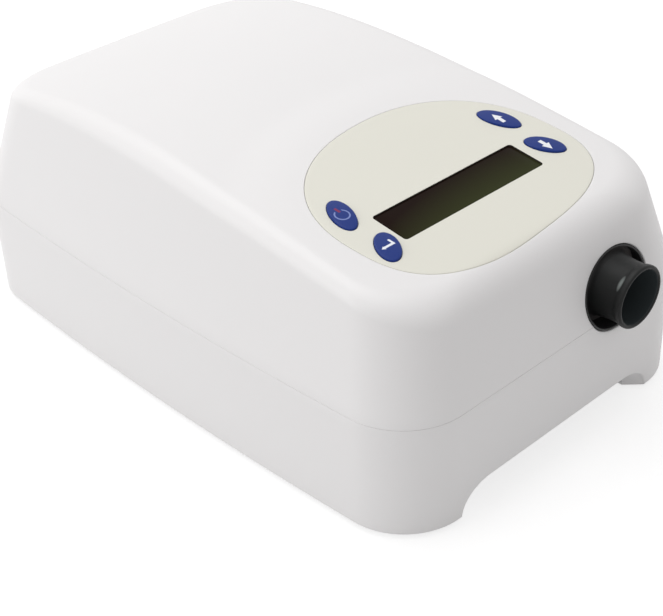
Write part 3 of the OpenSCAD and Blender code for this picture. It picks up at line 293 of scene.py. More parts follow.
def top_ring(c, u, off):
    """Ring at share u from the middle of the top to the end of the arc, on the top surface."""
    edge = arc_ring(c, 1.0, off)
    x, y = edge[:, 0] * u, edge[:, 1] * u
    rest = edge[:, 2] - top_height(edge[:, 0], edge[:, 1]) + off
    return np.stack([x, y, top_height(x, y) - off + rest * u ** 6], 1)


def wall_ring(c, t, off):
    """Ring on the leaning wall, at share t from the seam up to the arc."""
    z = SEAM + (arc_ring(c, 0.0, off)[:, 2] - SEAM) * t
    x, y = plan(c, LEAN * (z - SEAM) + off * LEAN_LEN, CORNER - off * LEAN_LEN)
    return np.stack([x, y, z], 1)


def level_ring(c, z, off):
    """Ring at one height, moved inwards by off."""
    x, y = plan(c, LEAN * max(0.0, z - SEAM) + off, CORNER - off)
    return np.stack([x, y, np.full(len(c), z)], 1)


# %% [markdown]
# ## Skin height for what lies on top
# The face plate reaches forward on to the shoulder. This function gives the height of the
# skin there too: the plane, and in front of it the front section's arc. The plate and its
# recess are both placed by it, so the plate lies flush all round.

# %% Skin height
front = shoulder(np.array([[0.0, -1.0, 0.0, -1.0]]))
ARC_R, ARC_Z, ARC_IN = (float(front[i][0]) for i in range(3))
ARC_END = ARC_IN - ARC_R * math.cos(float(front[4][0]))


def skin_height(x, y):
    """Top surface, or zc + sqrt(r^2 - (centre inset - inset)^2) where the front arc has begun."""
    inset = y + HALF_L
    arc = ARC_Z + np.sqrt(np.maximum(ARC_R ** 2 - (ARC_IN - inset) ** 2, 0.0))
    return np.where(inset < ARC_END, arc, top_height(x, y))


def on_skin(outline, depth):
    """Places points of the plan at a depth under the skin: height - depth."""
    x, y = outline[:, 0], outline[:, 1]
    return np.stack([x, y, skin_height(x, y) - depth], 1)


print("front arc begins", round(ARC_END, 2), "mm behind the front")

# %% [markdown]
# ## Cutters with a softened mouth
# Moulded openings never have a knife edge. A cutter whose mouth flares out along a quarter
# circle leaves a rounded rim behind, with no bevel to compute afterwards.

# %% Cutters
# How far the rims of openings are rounded
FINE_RIM, SMALL_RIM, SOFT_RIM = 0.05, 0.2, 0.3


def oval_points(cx, cy, a, b, power=2.0, n=160, turn=0.0):
    """Closed oval a sign(cos) |cos|^(2/p), b sign(sin) |sin|^(2/p), turned and moved."""
    t = np.linspace(0, 2 * np.pi, n, endpoint=False)
    x = a * np.sign(np.cos(t)) * np.abs(np.cos(t)) ** (2 / power)
    y = b * np.sign(np.sin(t)) * np.abs(np.sin(t)) ** (2 / power)
    return np.stack([cx + x * math.cos(turn) - y * math.sin(turn),
                     cy + x * math.sin(turn) + y * math.cos(turn)], 1)


def plate_rim(gap, n=360):
    """The face plate's egg-shaped outline: fuller in front of its widest line, and turned."""
    t = np.linspace(0, 2 * np.pi, n, endpoint=False)
    p = np.where(np.sin(t) < 0, FRONT_POWER, BACK_POWER)
    b = np.where(np.sin(t) < 0, PANEL_FRONT, PANEL_REAR) + gap
    u = (PANEL_W / 2 + gap) * np.sign(np.cos(t)) * np.abs(np.cos(t)) ** (2 / p)
    v = b * np.sign(np.sin(t)) * np.abs(np.sin(t)) ** (2 / p)
    return np.stack([PANEL_X + u * math.cos(PANEL_TURN) - v * math.sin(PANEL_TURN),
                     PANEL_Y + u * math.sin(PANEL_TURN) + v * math.cos(PANEL_TURN)], 1)


def rounded_rect(w, h, r, n=12):
    """Rectangle with quarter circles of radius r at its corners."""
    blocks = []
    for q, (sx, sy) in enumerate([(1, 1), (-1, 1), (-1, -1), (1, -1)]):
        t = np.radians(90 * q + np.linspace(0, 90, n))
        blocks.append(np.stack([sx * (w / 2 - r) + r * np.cos(t), sy * (h / 2 - r) + r * np.sin(t)], 1))
    return np.concatenate(blocks)


def grow(outline, d):
    """Outline moved outwards by d along its own normals."""
    ahead, behind = np.roll(outline, -1, 0), np.roll(outline, 1, 0)
    t = ahead - behind
    t /= np.maximum(np.linalg.norm(t, axis=1, keepdims=True), 1e-9)
    return outline + d * np.stack([t[:, 1], -t[:, 0]], 1)


def flare_steps(edge, steps=5):
    """Depth and growth along a rounded mouth: growth e - sqrt(e^2 - (e - depth)^2)."""
    depth = edge * (1 - np.cos(np.linspace(0, np.pi / 2, steps)))
    return depth, edge - np.sqrt(np.maximum(edge ** 2 - (edge - depth) ** 2, 0))


def mouth_cutter(name, outline, place, depth, edge, above=4.0):
    """A prism on a closed outline whose mouth at depth zero is rounded by edge. place turns
    (outline points, depth) into casing coordinates."""
    rows = [place(grow(outline, edge), -above)]
    rows += [place(grow(outline, wider), sunk) for sunk, wider in zip(*flare_steps(edge))]
    rows += [place(outline, depth)]
    return stack(name, rows, rows[0].mean(0), rows[-1].mean(0))


def on_panel(outline, depth):
    """Places points of the panel's plane, given about the display's centre, at a depth under it."""
    c, s = math.cos(TILT), math.sin(TILT)
    return np.stack([outline[:, 0], DISPLAY_Y + outline[:, 1] * c + depth * s,
                     DISPLAY_Z + outline[:, 1] * s - depth * c], 1)


# %% [markdown]
# ## Places of the display and the keys
# The display and the keys lie on the panel's plane, so their places are given on it, right
# and up from the display's centre. Two oval keys stand on each side, and each leans towards
# the middle at its back end. The holes in the casing and in the face plate are the same ovals,
# a little larger, so one function draws them all.

# %% Display and keys
# Each key's centre from the display's centre, its turn in degrees and its length
KEYS = {"power": (-39.4, 14.0, -20.5, 16.0), "enter": (-39.9, -6.2, -30.5, 14.4),
        "up": (41.0, 19.9, 20.5, 16.0), "down": (41.2, -0.3, 30.5, 14.4)}
KEY_W, KEY_GAP = 8.0, 0.14
# The clear window, its seat in the casing, and the opening in the face plate above it
LENS_W, LENS_H, LENS_R = 66.8, 16.7, 0.8
LENS_GAP, LENS_SEAT_R = 0.3, 1.0
WINDOW_W, WINDOW_H, WINDOW_R, WINDOW_AT = 65.2, 14.8, 1.2, np.array([-0.35, 0.2])


def key_outline(key, extra):
    """The oval of one key on the panel, larger all round by extra."""
    x, y, turn, length = KEYS[key]
    return oval_points(x, y, KEY_W / 2 + extra, length / 2 + extra, n=96, turn=math.radians(turn))


print("keys", list(KEYS), "and a window", WINDOW_W, "by", WINDOW_H, "mm")

# %% [markdown]
# ## The outlet hole
# The hole is an oval, cut straight back through a wall that is upright below the seam and
# leans back above it. Its rounded rim has to follow both, so each point of the rim starts at
# the wall's own face.

# %% Outlet places
# The outlet's axis, the radius of the round hole that the oval is drawn out of, the oval's
# half width and half height, and its middle from the axis
OUTLET_X, OUTLET_Z, HOLE_R = 28.0, 49.0, 14.9
HOLE_HALF_W, HOLE_HALF_H, OVAL_RIGHT, OVAL_UP = 16.0, 13.95, 0.15, -0.65
OVAL_X, OVAL_Z = HOLE_HALF_W / HOLE_R, HOLE_HALF_H / HOLE_R
HOLE_DEEP, HOLE_RIM = 20.0, 0.5


def wall_face(z):
    """y of the front wall's outer face at height z."""
    return -HALF_L + LEAN * np.maximum(0.0, z - SEAM)


def in_front_wall(outline, depth):
    """Points given about the outlet's axis as (right, up), at a depth behind the wall's face."""
    z = OUTLET_Z + outline[:, 1]
    return np.stack([OUTLET_X + outline[:, 0], wall_face(z) + depth, z], 1)


def outlet_cutter(name):
    """The oval hole round the outlet with its softened rim."""
    oval = oval_points(OVAL_RIGHT, OVAL_UP, HOLE_R * OVAL_X, HOLE_R * OVAL_Z, n=180)
    return mouth_cutter(name, oval, in_front_wall, HOLE_DEEP, HOLE_RIM)


# %% [markdown]
# ## The upper casing
# One stack of rings runs from the middle of the top, over the shoulder, down the leaning
# wall, round the seam's edge and back up the inside. The wall is a real 2.6 mm thick, so the
# seam and every opening show an honest edge.

# %% Upper casing
# Play on each side of the seam's lip, and the room above it
LIP_PLAY, LIP_ROOM = 0.075, 0.2
# The face plate's seat: its depth and its gap round the plate
RECESS_DEPTH, RECESS_GAP = 0.8, 0.12
# The seat's cutter widens and rises by this much above the skin, and ends at this height
SEAT_OUT, SEAT_UP, SEAT_TOP = 0.4, 3.0, 95.0
# The other cutters on the panel go this deep
PANEL_CUT = 6.0


def seam_edge(c, z_edge, towards, soft=0.1, steps=4):
    """Rings that round the outer edge at the seam, from the wall to the edge's flat."""
    a = np.linspace(0, np.pi / 2, steps)
    return [level_ring(c, z_edge + towards * soft * (1 - math.sin(t)), soft * (1 - math.cos(t)))
            for t in a]


upper_edge = SEAM + SEAM_GAP / 2
lip_out = WALL / 2 - LIP_PLAY
lip_in = WALL / 2 + LIP_PLAY
lip_top = upper_edge + LIP + LIP_ROOM
upper_rings = [top_ring(columns, u, 0) for u in np.linspace(0, 1, 52)[1:-1]]
upper_rings += [arc_ring(columns, k, 0) for k in np.linspace(1, 0, 16)]
upper_rings += [wall_ring(columns, t, 0) for t in np.linspace(1, 0, 12)[1:-1]]
upper_rings += seam_edge(columns, upper_edge, 1)
upper_rings += [level_ring(columns, upper_edge, lip_out), level_ring(columns, lip_top, lip_out),
                level_ring(columns, lip_top, WALL), wall_ring(columns, 0.5, WALL)]
upper_rings += [arc_ring(columns, k, WALL) for k in np.linspace(0, 1, 8)]
upper_rings += [top_ring(columns, u, WALL) for u in np.linspace(1, 0, 20)[1:-1]]
middle = top_height(np.zeros(1), np.zeros(1))[0]
upper = stack("casing_upper_half", upper_rings, (0, 0, middle), (0, 0, middle - WALL))


def recess_cutter(name, depth, edge, gap):
    """The face plate's seat: its floor lies depth under the skin and its rim is rounded by edge."""
    rim = plate_rim(gap)
    centre = np.array([PANEL_X, PANEL_Y])
    rows = [on_skin(centre + (rim - centre) * s, depth) for s in np.linspace(0.03, 1, 24)]
    sunk, wider = flare_steps(edge)
    rows += [on_skin(grow(rim, w), d) for d, w in zip(sunk[::-1], wider[::-1])]
    rows += [on_skin(grow(rim, edge + SEAT_OUT), -SEAT_UP)]
    return stack(name, rows, on_skin(centre[None], depth)[0], (PANEL_X, PANEL_Y, SEAT_TOP))


lens_seat = rounded_rect(LENS_W + LENS_GAP, LENS_H + LENS_GAP, LENS_SEAT_R)
upper_cuts = [outlet_cutter("cut_outlet_upper"),
              recess_cutter("cut_recess", RECESS_DEPTH, SMALL_RIM, RECESS_GAP)]
upper_cuts += [mouth_cutter("cut_" + k, key_outline(k, KEY_GAP), on_panel, PANEL_CUT, FINE_RIM)
               for k in KEYS]
upper_cuts += [mouth_cutter("cut_window", lens_seat, on_panel, PANEL_CUT, FINE_RIM)]
finish_shading(carve(upper, upper_cuts))
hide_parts("upper_casing")
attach(upper, "housing")

# %% [markdown]
# ## The lower casing
# The lower half is an upright tray with a rounded bottom edge and a lip that stands up into
# the upper half. Its floor is left thick, because nothing outside shows how deep the tray is.
# An arch runs under it from front to back and leaves a long foot on each side. The filter's
# opening and its cover's seat, the supply socket's hole, the foot pads' seats and the holes
# of the screws are cut out.

# %% Lower casing
# The bottom edge's radius, and the height of the floor inside
BOTTOM, TRAY_FLOOR = 1.0, 12.1
# The arch's width and height at the ends, how far its corners run in, and how much wider each
# foot grows behind the faces
ARCH_W, ARCH_H, ARCH_RUN, FOOT_FLARE = 94.0, 9.5, 13.0, 5.0
# The arch's cutter reaches this far below the casing and beyond its faces
ARCH_BELOW, ARCH_BEYOND = 6.0, 3.0
# The wall's last plain ring stays this far below the seam
SEAM_CLEAR = 0.35
lower_edge = SEAM - SEAM_GAP / 2


def foot_ring(c, a):
    """Ring at angle a round the bottom edge's fillet, from the flat bottom to the wall."""
    inset = BOTTOM * (1 - math.sin(a))
    x, y = plan(c, inset, CORNER - inset)
    return np.stack([x, y, np.full(len(c), BOTTOM * (1 - math.cos(a)))], 1)


bottom_ring = foot_ring(columns, 0.0)
lower_rings = [bottom_ring * np.array([s, s, 1]) for s in np.linspace(0.1, 1, 8)[:-1]]
lower_rings += [foot_ring(columns, a) for a in np.linspace(0, np.pi / 2, 8)]
lower_rings += [level_ring(columns, z, 0)
                for z in np.linspace(BOTTOM, lower_edge - SEAM_CLEAR, 16)[1:-1]]
lower_rings += seam_edge(columns, lower_edge, -1)
lower_rings += [level_ring(columns, lower_edge, lip_in), level_ring(columns, SEAM + LIP, lip_in),
                level_ring(columns, SEAM + LIP, WALL + 2 * LIP_PLAY),
                level_ring(columns, SEAM - LIP, WALL), level_ring(columns, TRAY_FLOOR, WALL)]
lower = stack("casing_lower_half", lower_rings, (0, 0, 0), (0, 0, TRAY_FLOOR))


def arch_profile(extra):
    """Outline of the arch, closed below the casing: flat top, a quarter ellipse at each end."""
    w, h, run = ARCH_W / 2 + extra, ARCH_H + max(extra, 0.0), ARCH_RUN
    t = np.linspace(0, np.pi / 2, 26)
    right = np.stack([w - run + run * np.cos(t), h * np.sin(t)], 1)
    flat = np.linspace(w - run, -(w - run), 20)[1:-1]
    top = np.stack([flat, np.full(len(flat), h)], 1)
    left = right[::-1] * [-1, 1]
    return np.concatenate([[[w, -ARCH_BELOW]], right, top, left, [[-w, -ARCH_BELOW]]])


def arch_cutter(name, edge=0.8):
    """The arch profile carried from front to back. It narrows evenly behind both faces, so each
    foot grows wider, and its mouth is rounded by edge."""
    sunk, wider = flare_steps(edge, 6)
    s = np.linspace(0, 1, 8)[1:]
    depth = np.concatenate([sunk, edge + FOOT_FLARE * s])
    widen = np.concatenate([wider, -FOOT_FLARE * s])
    middle = np.linspace(depth[-1], 2 * HALF_L - depth[-1], 20)[1:-1]
    y = np.concatenate([[-ARCH_BEYOND], depth, middle, 2 * HALF_L - depth[::-1],
                        [2 * HALF_L + ARCH_BEYOND]]) - HALF_L
    extra = np.concatenate([[edge], widen, np.full(len(middle), widen[-1]), widen[::-1], [edge]])
    rows = []
    for place, profile in zip(y, map(arch_profile, extra)):
        rows.append(np.stack([profile[:, 0], np.full(len(profile), place), profile[:, 1]], 1))
    return stack(name, rows, (0, y[0], 0), (0, y[-1], 0))


def in_back_wall(cx, cz):
    """A placer for points given about (cx, cz) as (left, up), at a depth in front of the back face."""
    return lambda outline, depth: np.stack(
        [cx - outline[:, 0], np.full(len(outline), HALF_L - depth), cz + outline[:, 1]], 1)


def under_casing(cx, cy):
    """A placer for points about (cx, cy), at a depth above the flat bottom."""
    return lambda outline, depth: np.stack(
        [cx + outline[:, 0], cy - outline[:, 1], np.full(len(outline), depth)], 1)


# The filter's opening and the rim of its cover round it, then the supply socket's hole with
# 0.15 mm of play
FILTER_X, FILTER_Z, FILTER_W, FILTER_H, FILTER_R = -18.0, 26.5, 44.0, 20.0, 3.0
COVER_RIM, COVER_SEAT = 3.7, 2.0
SOCKET_X, SOCKET_Z, SOCKET_R = 45.0, 25.0, 5.4 + 0.15
# Places, radii and depths of the foot pads' seats and of the screws' holes
FOOT_X, FOOT_Y, FOOT_R, FOOT_SEAT = 59.0, 99.0, 6.15, 0.8
SCREW_X, SCREW_Y, SCREW_R = 53.0, 86.0, 3.3
THROUGH = 9.0

at_filter = in_back_wall(FILTER_X, FILTER_Z)
cover_rect = rounded_rect(FILTER_W + 2 * COVER_RIM, FILTER_H + 2 * COVER_RIM, FILTER_R + COVER_RIM)
filter_rect = rounded_rect(FILTER_W, FILTER_H, FILTER_R)
lower_cuts = [arch_cutter("cut_arch"), outlet_cutter("cut_outlet_lower"),
              mouth_cutter("cut_cover", cover_rect, at_filter, COVER_SEAT, SOFT_RIM),
              mouth_cutter("cut_filter", filter_rect, at_filter, THROUGH, FINE_RIM),
              mouth_cutter("cut_socket", oval_points(0, 0, SOCKET_R, SOCKET_R, n=72),
                           in_back_wall(SOCKET_X, SOCKET_Z), THROUGH, SOFT_RIM)]
for sx, sy in ((-1, -1), (-1, 1), (1, -1), (1, 1)):
    lower_cuts.append(mouth_cutter(f"cut_foot_{sx}_{sy}", oval_points(0, 0, FOOT_R, FOOT_R, n=64),
                                   under_casing(FOOT_X * sx, FOOT_Y * sy), FOOT_SEAT, SMALL_RIM))
    lower_cuts.append(mouth_cutter(f"cut_screw_{sx}_{sy}", oval_points(0, 0, SCREW_R, SCREW_R, n=48),
                                   under_casing(SCREW_X * sx, SCREW_Y * sy), THROUGH, SOFT_RIM))
finish_shading(carve(lower, lower_cuts))
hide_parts("lower_casing")
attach(lower, "housing")

# %% [markdown]
# ## The face plate
# A thin printed plate is glued into its seat. It could be a flat disc, but the real one rolls
# down with the shoulder at its front, so its rings follow the skin's height. The display's
# window and the four key holes are cut through it with small rounded rims.

# %% Face plate
# Its edge's radius, how far it stands above the skin, and its underside, just off the seat
PLATE_EDGE, PLATE_PROUD, PLATE_BACK = 0.25, 0.03, RECESS_DEPTH - 0.05
# How deep its cutters go, and how far its key holes and its window are rounded
PLATE_CUT, KEY_RIM, WINDOW_RIM = 3.0, 0.1, 0.15


def face_plate(name):
    """Rings out from the centre on the skin, round the rim, and back under at plate thickness."""
    rim = plate_rim(0.0)
    centre = np.array([PANEL_X, PANEL_Y])
    flat = grow(rim, -PLATE_EDGE)
    rows = [on_skin(centre + (flat - centre) * s, -PLATE_PROUD) for s in np.linspace(0.02, 1, 40)]
    rows += [on_skin(grow(rim, -PLATE_EDGE * (1 - math.sin(t))),
                     PLATE_EDGE * (1 - math.cos(t)) - PLATE_PROUD)
             for t in np.linspace(0, np.pi / 2, 6)[1:]]
    rows += [on_skin(rim, PLATE_BACK)]
    rows += [on_skin(centre + (rim - centre) * s, PLATE_BACK) for s in np.linspace(1, 0.02, 24)[1:]]
    return stack(name, rows, on_skin(centre[None], -PLATE_PROUD)[0], on_skin(centre[None], PLATE_BACK)[0])


plate = face_plate("face_plate")
plate_cuts = [mouth_cutter("cut_plate_" + k, key_outline(k, KEY_GAP), on_panel, PLATE_CUT, KEY_RIM)
              for k in KEYS]
plate_cuts += [mouth_cutter("cut_plate_window", rounded_rect(WINDOW_W, WINDOW_H, WINDOW_R) + WINDOW_AT,
                            on_panel, PLATE_CUT, WINDOW_RIM)]
finish_shading(carve(plate, plate_cuts))
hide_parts("panel_overlay")
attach(plate, "housing")

# %% [markdown]
# ## The display window
# Behind the opening sits a tinted clear window. It is a plate a little larger than the
# opening, with a softened edge, so the plate above holds it down.

# %% Display window
# Depth of its face under the plane, its thickness and its softened edge
LENS_DEPTH, LENS_T, LENS_EDGE = 0.55, 1.7, 0.2


def soft_plate(name, outline, place, top, thickness, edge):
    """A flat plate on an outline: rings inwards over a rounded edge, closed above and below."""
    rows = [place(grow(outline, -edge) * s, top) for s in np.linspace(0.1, 1, 6)]
    rows += [place(grow(outline, -edge * (1 - math.sin(t))), top + edge * (1 - math.cos(t)))
             for t in np.linspace(0, np.pi / 2, 5)[1:]]
    rows += [place(outline, top + thickness)]
    rows += [place(outline * s, top + thickness) for s in np.linspace(1, 0.1, 5)[1:]]
    origin = np.zeros((1, 2))
    return stack(name, rows, place(origin, top)[0], place(origin, top + thickness)[0])


window = finish_shading(soft_plate("display_window", rounded_rect(LENS_W, LENS_H, LENS_R), on_panel,
                                   LENS_DEPTH, LENS_T, LENS_EDGE))
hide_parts("display_lens")
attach(window, "housing")
print("display window", len(window.data.polygons), "faces")

# %% [markdown]
# ## The keys
# Each key is an oval cap with a slightly domed face. Rings shrink towards the middle, and
# their height is the dome's: proud height minus (x^2 + y^2) / (2 R). The rim rolls over in a
# quarter circle and the side goes straight down into the casing.

# %% Keys
# Height above the plane, the dome's radius, the rim's radius, and depths of the side's rings
KEY_PROUD, DOME_R, KEY_SOFT = 0.9, 60.0, 0.4
KEY_SIDE = (1.2, 2.2, 3.2)


def key_cap(key):
    """The dome, its rolled rim and the straight side of one oval key."""
    x0, y0, turn, length = KEYS[key]
    local = oval_points(0, 0, KEY_W / 2, length / 2, n=96)
    angle = math.radians(turn)
    spin = np.array([[math.cos(angle), math.sin(angle)], [-math.sin(angle), math.cos(angle)]])

    def at(outline, sink):
        height = KEY_PROUD - (outline ** 2).sum(1) / (2 * DOME_R) - sink
        placed = outline @ spin + [x0, y0]
        flat = on_panel(placed, 0.0)
        return flat + height[:, None] * np.array([0, -math.sin(TILT), math.cos(TILT)])

    rows = [at(grow(local, -KEY_SOFT) * s, 0.0) for s in np.linspace(0.06, 1, 16)]
    rows += [at(grow(local, -KEY_SOFT * (1 - math.sin(t))), KEY_SOFT * (1 - math.cos(t)))
             for t in np.linspace(0, np.pi / 2, 6)[1:]]
    rows += [at(local, sink) for sink in KEY_SIDE]
    rows += [at(local * s, KEY_SIDE[-1]) for s in (0.6, 0.2)]
    origin = np.zeros((1, 2))
    obj = stack(key + "_key", rows, at(origin, 0.0)[0], at(origin, KEY_SIDE[-1])[0])
    print(obj.name, len(obj.data.polygons), "faces")
    return finish_shading(obj)


for key in KEYS:
    cap = key_cap(key)
    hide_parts(key + "_button")
    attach(cap, key + "_key")

# %% [markdown]
# ## The air outlet
# The outlet is a turned shape: a stub that breathing hoses push on to, a concave flare and a
# floor that closes the hole in the casing. One closed profile, spun about the outlet's axis,
# makes all of it, the bore included. The stub is round. Outside its radius the turns are
# drawn out into the hole's oval, by a share that grows from nothing to all over the flare.

# %% Air outlet
# Radii of the stub outside and inside, its tip, its length, and the place of the cup's floor
AIR_R, BORE_R, TIP_Y, STUB_LONG, FLOOR_Y = 11.0, 9.0, -HALF_L - SPIGOT_OUT, 37.9, -108.7
# The mouth's radius, the lip's rounding, the flare's radius and how slim the waist is
MOUTH_R, LIP_R, FLARE, WAIST = 9.5, 0.75, 2.8, 0.6
FLARE_AT = FLOOR_Y - TIP_Y


def quarter(cx, cy, r, a0, a1, n=8):
    """Points of an arc about (cx, cy) from angle a0 to a1, in degrees."""
    t = np.radians(np.linspace(a0, a1, n))
    return np.stack([cx + r * np.cos(t), cy + r * np.sin(t)], 1)


def lathe(name, profile, place, n=180):
    """Spins a closed profile of (radius, depth) points about the outlet's axis: radius times
    (cos t, sin t), each stretched by 1 + share * (oval - 1). place gives the y of each point
    from its height and depth."""
    t = np.linspace(0, 2 * np.pi, n, endpoint=False)
    r = profile[:, :1]
    share = np.clip((r - AIR_R) / FLARE, 0.0, 1.0)
    x = OUTLET_X + share * OVAL_RIGHT + r * (1 + share * (OVAL_X - 1)) * np.cos(t)
    z = OUTLET_Z + share * OVAL_UP + r * (1 + share * (OVAL_Z - 1)) * np.sin(t)
    return stack(name, np.stack([x, place(z, profile[:, 1:]), z], -1))


# The profile as (radius, depth behind the tip): out of the bore, round the lip, along the slim
# waist, down the flare to the cup's floor, and back along the collar behind the wall
bore = [[BORE_R, STUB_LONG], [BORE_R, 20.0], [BORE_R, 12.0], [MOUTH_R - 0.1, 6.0], [MOUTH_R, 2.0]]
lip = np.concatenate([quarter(MOUTH_R + LIP_R, LIP_R, LIP_R, 180, 270, 7),
                      quarter(AIR_R - LIP_R, LIP_R, LIP_R, 270, 360, 8)[1:]])
waist = [[AIR_R, 1.5], [AIR_R - 0.1, 2.1], [AIR_R - 0.4, 2.8], [AIR_R - WAIST, 3.6],
         [AIR_R - WAIST, 7.0], [AIR_R - 0.4, 9.5], [AIR_R - 0.05, FLARE_AT - FLARE - 0.3]]
flare = quarter(AIR_R + FLARE, FLARE_AT - FLARE, FLARE, 180, 90, 10)
collar = [[AIR_R + FLARE + 0.05, FLARE_AT + 0.6], [AIR_R + FLARE + 0.05, FLARE_AT + 3.6],
          [AIR_R, FLARE_AT + 3.6], [AIR_R, STUB_LONG]]
outlet_profile = np.concatenate([bore, lip, waist, flare, collar])
outlet = finish_shading(lathe("outlet_stub", outlet_profile, lambda z, d: TIP_Y + d + 0 * z))
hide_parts("outlet_connector")
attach(outlet, "housing")
print("outlet", len(outlet.data.polygons), "faces")

# %% [markdown]
# ## The rubber lining of the hole
# A rubber sleeve lines the hole and shows as a thin black line round it. Its front lip
# follows the wall's face, so its depth is measured from there. Behind the wall a collar holds
# it in place.

# %% Hole lining
# Radii of the sleeve, its depth, the rounding of its lip and the place of that rounding
LINING_IN, LINING_OUT, LINING_DEEP, LINING_LIP, LINING_TIP = 13.92, 14.75, 7.0, 0.4, 0.55
# The collar's outer radius, and the depths of its front and its back
COLLAR_R, COLLAR_FRONT, COLLAR_BACK = LINING_OUT + 2.4, 2.75, 4.35
lining_profile = np.concatenate([
    [[LINING_IN, LINING_DEEP], [LINING_IN, 3.0]],
    quarter(LINING_IN + LINING_LIP, LINING_TIP, LINING_LIP, 180, 270, 5),
    quarter(LINING_OUT - LINING_LIP, LINING_TIP, LINING_LIP, 270, 360, 5),
    [[LINING_OUT, COLLAR_FRONT], [COLLAR_R, COLLAR_FRONT], [COLLAR_R, COLLAR_BACK],
     [LINING_OUT, COLLAR_BACK], [LINING_OUT, LINING_DEEP]]])
lining = finish_shading(lathe("outlet_lining", lining_profile, lambda z, d: wall_face(z) + d))
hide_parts("outlet_grommet")
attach(lining, "housing")
print("lining", len(lining.data.polygons), "faces")

# %% [markdown]
# ## Shader node groups
# Several finishes share one effect: the very fine, even roughness of a moulded or printed
# surface. It is built once as a node group and put into each material with its own values.
# It puts out a height for the bump, a roughness and a shade that drifts slowly over the part.

# %% Moulded surface group
def new_group(name, ins, outs):
    """An empty shader node group with float inputs (name, value) and outputs (name, type)."""
    group = bpy.data.node_groups.new(name, "ShaderNodeTree")
    for label, value in ins:
        sock = group.interface.new_socket(label, in_out="INPUT", socket_type="NodeSocketFloat")
        sock.default_value = value
    for label, kind in outs:
        group.interface.new_socket(label, in_out="OUTPUT", socket_type=kind)
    return group, group.nodes.new("NodeGroupInput"), group.nodes.new("NodeGroupOutput")


def calc(tree, op, a, b=None, c=None):
    """One Math node, whose inputs a, b and c are numbers or sockets."""
    node = tree.nodes.new("ShaderNodeMath")
    node.operation = op
    for i, v in enumerate((a, b, c)):
        if v is None:
            continue
        if isinstance(v, (int, float)):
            node.inputs[i].default_value = v
        else:
            tree.links.new(v, node.inputs[i])
    return node.outputs[0]


# How much the fine grain changes the roughness
FINE_ROUGH = 0.05
moulded, group_in, group_out = new_group(
    "moulded_surface",
    [("Grain Scale", 2500.0), ("Roughness", 0.45), ("Roughness Drift", 0.06), ("Shade Drift", 0.02)],
    [("Height", "NodeSocketFloat"), ("Roughness", "NodeSocketFloat"), ("Shade", "NodeSocketFloat")])
coords = moulded.nodes.new("ShaderNodeTexCoord")
grain = moulded.nodes.new("ShaderNodeTexNoise")
grain.inputs["Detail"].default_value = 3.0
moulded.links.new(coords.outputs["Object"], grain.inputs["Vector"])
moulded.links.new(group_in.outputs["Grain Scale"], grain.inputs["Scale"])
drift = moulded.nodes.new("ShaderNodeTexNoise")
drift.inputs["Scale"].default_value = 22.0
drift.inputs["Detail"].default_value = 2.0
moulded.links.new(coords.outputs["Object"], drift.inputs["Vector"])
centred = calc(moulded, "SUBTRACT", drift.outputs["Fac"], 0.5)
fine = calc(moulded, "SUBTRACT", grain.outputs["Fac"], 0.5)
rough = calc(moulded, "MULTIPLY_ADD", centred, group_in.outputs["Roughness Drift"],
             group_in.outputs["Roughness"])
rough = calc(moulded, "MULTIPLY_ADD", fine, FINE_ROUGH, rough)
shade = calc(moulded, "MULTIPLY_ADD", centred, group_in.outputs["Shade Drift"], 1.0)
moulded.links.new(grain.outputs["Fac"], group_out.inputs["Height"])
moulded.links.new(rough, group_out.inputs["Roughness"])
moulded.links.new(shade, group_out.inputs["Shade"])
print("group", moulded.name, "with", len(moulded.nodes), "nodes")

# %% [markdown]
# ## Materials
# Colours are picked as they look on a screen and changed to the linear values that light
# needs. Each finish then sets its own colour, roughness, grain and gloss round the group.

# %% Material helper
def linear(r, g, b):
    """Screen colour 0-255 to linear light: ((c + 0.055) / 1.055) ^ 2.4, or c / 12.92 when dark."""
    c = np.array([r, g, b]) / 255.0
    return tuple(np.where(c > 0.04045, ((c + 0.055) / 1.055) ** 2.4, c / 12.92)) + (1.0,)


def finish(name, colour, rough=0.45, drift=0.06, shade=0.02, scale=2500.0, bump=0.00002, **sockets):
    """A Principled material on the moulded group. Extra keywords set plain shader sockets."""
    mat = bpy.data.materials.new(name)
    mat.use_nodes = True
    tree = mat.node_tree
    shader = tree.nodes["Principled BSDF"]
    group = tree.nodes.new("ShaderNodeGroup")
    group.node_tree = moulded
    group.inputs["Grain Scale"].default_value = scale
    group.inputs["Roughness"].default_value = rough
    group.inputs["Roughness Drift"].default_value = drift
    group.inputs["Shade Drift"].default_value = shade
    tint = tree.nodes.new("ShaderNodeMix")
    tint.data_type = "RGBA"
    tint.blend_type = "MULTIPLY"
    tint.inputs["Factor"].default_value = 1.0
    tint.inputs["A"].default_value = linear(*colour)
    tree.links.new(group.outputs["Shade"], tint.inputs["B"])
    tree.links.new(tint.outputs["Result"], shader.inputs["Base Color"])
    tree.links.new(group.outputs["Roughness"], shader.inputs["Roughness"])
    bumped = tree.nodes.new("ShaderNodeBump")
    bumped.inputs["Distance"].default_value = bump
    tree.links.new(group.outputs["Height"], bumped.inputs["Height"])
    tree.links.new(bumped.outputs["Normal"], shader.inputs["Normal"])
    for label, value in sockets.items():
        shader.inputs[label.replace("_", " ")].default_value = value
    return mat


def wear(obj, mat):
    """Gives obj this one material."""
    obj.data.materials.clear()
    obj.data.materials.append(mat)


# %% [markdown]
# ## The finishes
# The record of the CAD model gives every piece a slot, such as casing plastic or steel, so
# there is one finish for each slot. The pieces inside get theirs too, since a cover can come
# off. The face plate and the outlet get their own copies, because more is painted on them.

